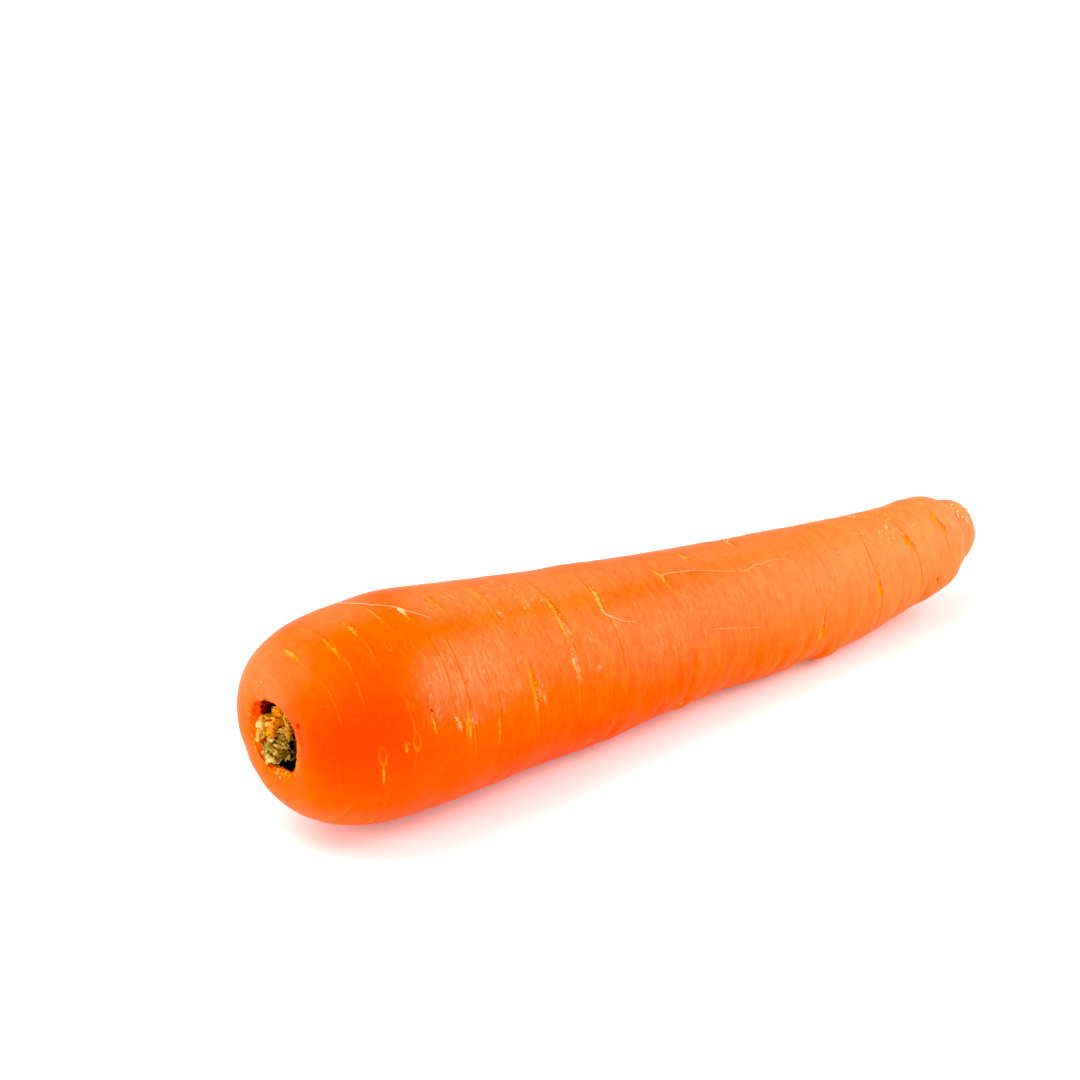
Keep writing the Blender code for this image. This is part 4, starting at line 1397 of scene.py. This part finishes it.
def add_stalk_body(heap, stalk, look, rng):
    """The fibrous crescent of one stalk base, with a corrugated side and a torn top."""
    (inner, outer), first, last, _, _ = stalk
    middle = (inner + outer) / 2
    turn = np.radians(np.linspace(first, last, BODY_STEPS))
    turns = np.concatenate([turn, turn[::-1]])
    sizes = np.concatenate([np.full(BODY_STEPS, outer), np.full(BODY_STEPS, inner)])
    phase = rng.uniform(0.0, 6.0)
    order = np.arange(2 * BODY_STEPS)
    fibres = 0.1 * np.cos(order * 2.1 + phase)
    jag = cloud(np.stack([order * 0.45, turns * 2, sizes], axis=-1), int(phase * 99))
    spread = lower_left(np.degrees(turns), sizes)
    pale = np.clip(look[0] * 0.7 + 0.2 * jag, 0.0, 1.0)
    rings = []
    tones = []
    for share, shrink in BODY_LEVELS:
        grow = 1 + STALK_FLARE * share
        wide = (middle + (sizes - middle) * (1 - shrink) + fibres * (1 - shrink)) * grow
        wide = wide + spread * share
        sideways = wide * np.cos(turns)
        up = wide * np.sin(turns)
        rise = torn_top(stalk, share, sideways, up) + 0.55 * jag * share + 0.3 * spread * share
        rings.append(cluster_points(rise, sideways, up))
        light = daylight(rings[-1]) * (1 - 0.3 * shrink)
        tones.append(stacked(pale, look[1], light))
    points = np.concatenate(rings)
    faces = grid_faces(len(rings), 2 * BODY_STEPS)
    heap.add(points, faces, np.concatenate(tones))


def add_strand(heap, stalk, look, rng, strand, flap=False):
    """One torn strand (radius, angle, half width, reach, lean), or a broad flap leaning out."""
    wide, angle, size, reach, lean = strand
    turn = math.radians(angle)
    spread = lower_left(angle, wide)
    wide = wide + spread
    sideways, up = wide * math.cos(turn), wide * math.sin(turn)
    top = torn_top(stalk, 1.0, sideways, up)
    start = top * rng.uniform(0.7, 0.88) + 0.4 * spread
    slant = math.radians(FIBRE_SLANT + rng.choice((0.0, 180.0)) + rng.normal(0.0, 26.0))
    heading = turn if flap else slant
    drift = reach * lean * (1.0 if flap else rng.uniform(0.4, 1.0))
    curl = rng.uniform(-0.4, 0.4) * reach
    t = np.linspace(0.0, 1.0, 7)
    forward = drift * t ** 1.4
    bend = curl * np.sin(t * math.pi)
    height = start + reach * (0.75 if flap else 0.45) * t - 0.25 * drift * t ** 3
    height = np.minimum(height, SOCKET_DEPTH + STRAND_OVERHANG)
    across = sideways + math.cos(heading) * forward - math.sin(heading) * bend
    over = up + math.sin(heading) * forward + math.cos(heading) * bend
    room, more_room = FLAP_ROOM if flap else STRAND_ROOM
    edge = room + more_room * side_of(angle, *ROOMY_SIDE)
    pull = np.minimum(1.0, edge / np.maximum(np.hypot(across, over), 0.1))
    path = cluster_points(height, across * pull, over * pull)
    if flap:
        ragged = 1 + 0.25 * np.sin(t * 9.0 + angle)
        crosswise = np.array([0.0, -math.sin(turn), math.cos(turn)])
        points, faces = tube(path, size * ragged * (1 - 0.6 * t ** 3), 8, 0.22, 0.0, crosswise)
    else:
        points, faces = tube(path, size * (1 - 0.88 * t ** 1.3), 5, 0.4, rng.uniform(0.0, 3.0))
    pale = float(np.clip(look[0] + rng.uniform(-0.25, 0.3), 0.0, 1.0))
    gold = float(np.clip(look[1] + rng.uniform(-0.3, 0.2), 0.0, 1.0))
    shaded = 0.35 if not flap and rng.uniform() < 0.22 else 1.0
    heap.add(points, faces, stacked(pale, gold, shaded * daylight(points)))


def make_leaf_stubs(material):
    """The torn leaf stalk bases in the socket and the small heart inside them."""
    for index, (stalk, look) in enumerate(zip((*STALKS, HEART), STUB_LOOKS)):
        rng = np.random.default_rng(STALK_SEED + index)
        heap = Heap()
        radii, first, last, _, _ = stalk
        *tone, strands, lean = look
        add_stalk_body(heap, stalk, tone, rng)
        for _ in range(strands):
            radius = rng.uniform(radii[0], radii[1] + 0.1)
            angle = rng.uniform(first, last)
            size = rng.uniform(0.12, 0.27)
            strand = (radius, angle, size, rng.uniform(1.0, 2.4), lean)
            add_strand(heap, stalk, tone, rng, strand)
        for owner, *flap, flap_tone in FLAPS:
            if owner == index + 1:
                add_strand(heap, stalk, flap_tone, rng, flap, flap=True)
        stub = heap.build(f"stub_{index + 1}", material)
        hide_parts(f"leaf_stub_{index + 1}")


def rootlet_path(path, number):
    """Distances and angles of a slightly wavy rootlet along its path."""
    table = [(index, distance, angle) for index, (distance, angle) in enumerate(path)]
    at = np.linspace(0.0, len(path) - 1, ROOTLET_POINTS)
    wave = np.sin(at * 5.3 + number) + 0.6 * np.sin(at * 11.7 + 2 * number)
    distance = along(table, 1, at) + 0.04 * wave
    angle = along(table, 2, at) + 0.12 * np.cos(at * 4.1 + number)
    return distance, angle


def make_rootlets(material):
    """The fine side rootlets, tapering threads along the skin, each with a branching hair."""
    for index, path in enumerate(ROOTLETS):
        first, last, pale = ROOTLET_LOOKS[index]
        distance, angle = rootlet_path(path, index)
        t = np.linspace(0.0, 1.0, ROOTLET_POINTS)
        size = first + (last - first) * t
        lift = 0.7 * size + 0.16 * np.sin(t * math.pi * 3 + index) ** 2 * t
        heap = Heap()
        points, faces = tube(points_over_skin(arc_of(distance), angle, lift), size, 7)
        heap.add(points, faces, (pale, 0.0, 1.0))
        rng = np.random.default_rng(ROOTLET_SEED + index)
        place = int(rng.uniform(8, ROOTLET_POINTS - 20))
        add_hair(heap, distance[place], angle[place], rng, pale)
        rootlet = heap.build(f"fine_rootlet_{index + 1}", material)
        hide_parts(f"rootlet_{index + 1}")


def add_hair(heap, distance, angle, rng, pale):
    """A hair that branches off a rootlet and lies on the skin."""
    t = np.linspace(0.0, 1.0, 9)
    reach = rng.uniform(0.8, 2.2)
    swing = rng.uniform(-1.0, 1.0)
    angles = angle + swing * 6.0 * t * t
    path = points_over_skin(arc_of(distance + reach * t), angles, 0.05 + 0.1 * t)
    points, faces = tube(path, HAIR_SIZE * (1 - 0.6 * t), 5)
    heap.add(points, faces, (pale, 0.0, 1.0))


def make_flakes(material):
    """Small dry flakes of torn skin, each a few short curled slivers."""
    heap = Heap()
    rng = np.random.default_rng(FLAKE_SEED)
    t = np.linspace(0.0, 1.0, 6)
    for distance, angle, size in FLAKES:
        for _ in range(SLIVERS):
            reach = size * rng.uniform(0.5, 1.0)
            heading = rng.uniform(0.0, 2 * math.pi)
            arc = arc_of(distance) + rng.uniform(-0.3, 0.3) * size
            spread = math.degrees(reach / max(radius_at(arc), 4.0))
            arcs = arc + math.cos(heading) * reach * (t - 0.5)
            angles = angle + rng.uniform(-0.6, 0.6) * spread
            angles = angles + math.sin(heading) * spread * (t - 0.5)
            lift = 0.03 + rng.uniform(0.1, 0.35) * size * t * t
            path = points_over_skin(arcs, angles, lift)
            width = 0.16 * size * (0.35 + np.sin(t * math.pi) ** 0.7)
            points, faces = tube(path, width, 6, flat=0.4, turn=rng.uniform(0.0, 3.0))
            heap.add(points, faces, (float(rng.uniform(0.35, 1.0)), 0.25, 1.0))
    flakes = heap.build("skin_flakes", material)


# ---------------------------------------------------------------------------
# Studio
# ---------------------------------------------------------------------------

def aim_at(thing, place, aim):
    """Puts a camera or light at a place and turns it towards a point."""
    thing.location = place
    heading = Vector(aim) - Vector(place)
    thing.rotation_euler = heading.to_track_quat("-Z", "Y").to_euler()
    bpy.context.scene.collection.objects.link(thing)


def make_studio():
    """Pale floor, white surroundings, soft lights and the camera."""
    bpy.ops.mesh.primitive_plane_add(size=FLOOR_SIZE)
    floor = bpy.context.active_object
    floor.name = "floor"
    floor.data.materials.append(floor_material())

    world = bpy.data.worlds.new("studio")
    world.use_nodes = True
    background = world.node_tree.nodes["Background"]
    background.inputs["Color"].default_value = (1.0, 1.0, 1.0, 1.0)
    background.inputs["Strength"].default_value = SURROUNDINGS
    bpy.context.scene.world = world

    for number, (place, aim, width, height, power) in enumerate(LIGHTS, start=1):
        light = bpy.data.lights.new(f"soft_light_{number}", "AREA")
        light.shape = "RECTANGLE"
        light.size = width
        light.size_y = height
        light.energy = power
        aim_at(bpy.data.objects.new(light.name, light), place, aim)

    lens = bpy.data.cameras.new("camera")
    lens.lens = LENS
    lens.sensor_width = SENSOR
    camera = bpy.data.objects.new("camera", lens)
    aim_at(camera, CAMERA_PLACE, CAMERA_AIM)
    bpy.context.scene.camera = camera
    show = bpy.context.scene.view_settings
    show.view_transform = "Standard"
    show.use_curve_mapping = True
    show.curve_mapping.black_level = (BLACK_LEVEL, BLACK_LEVEL, BLACK_LEVEL)


make_root(skin_material())
make_leaf_stubs(stalk_material())
fine = rootlet_material()
make_rootlets(fine)
make_flakes(fine)
make_studio()
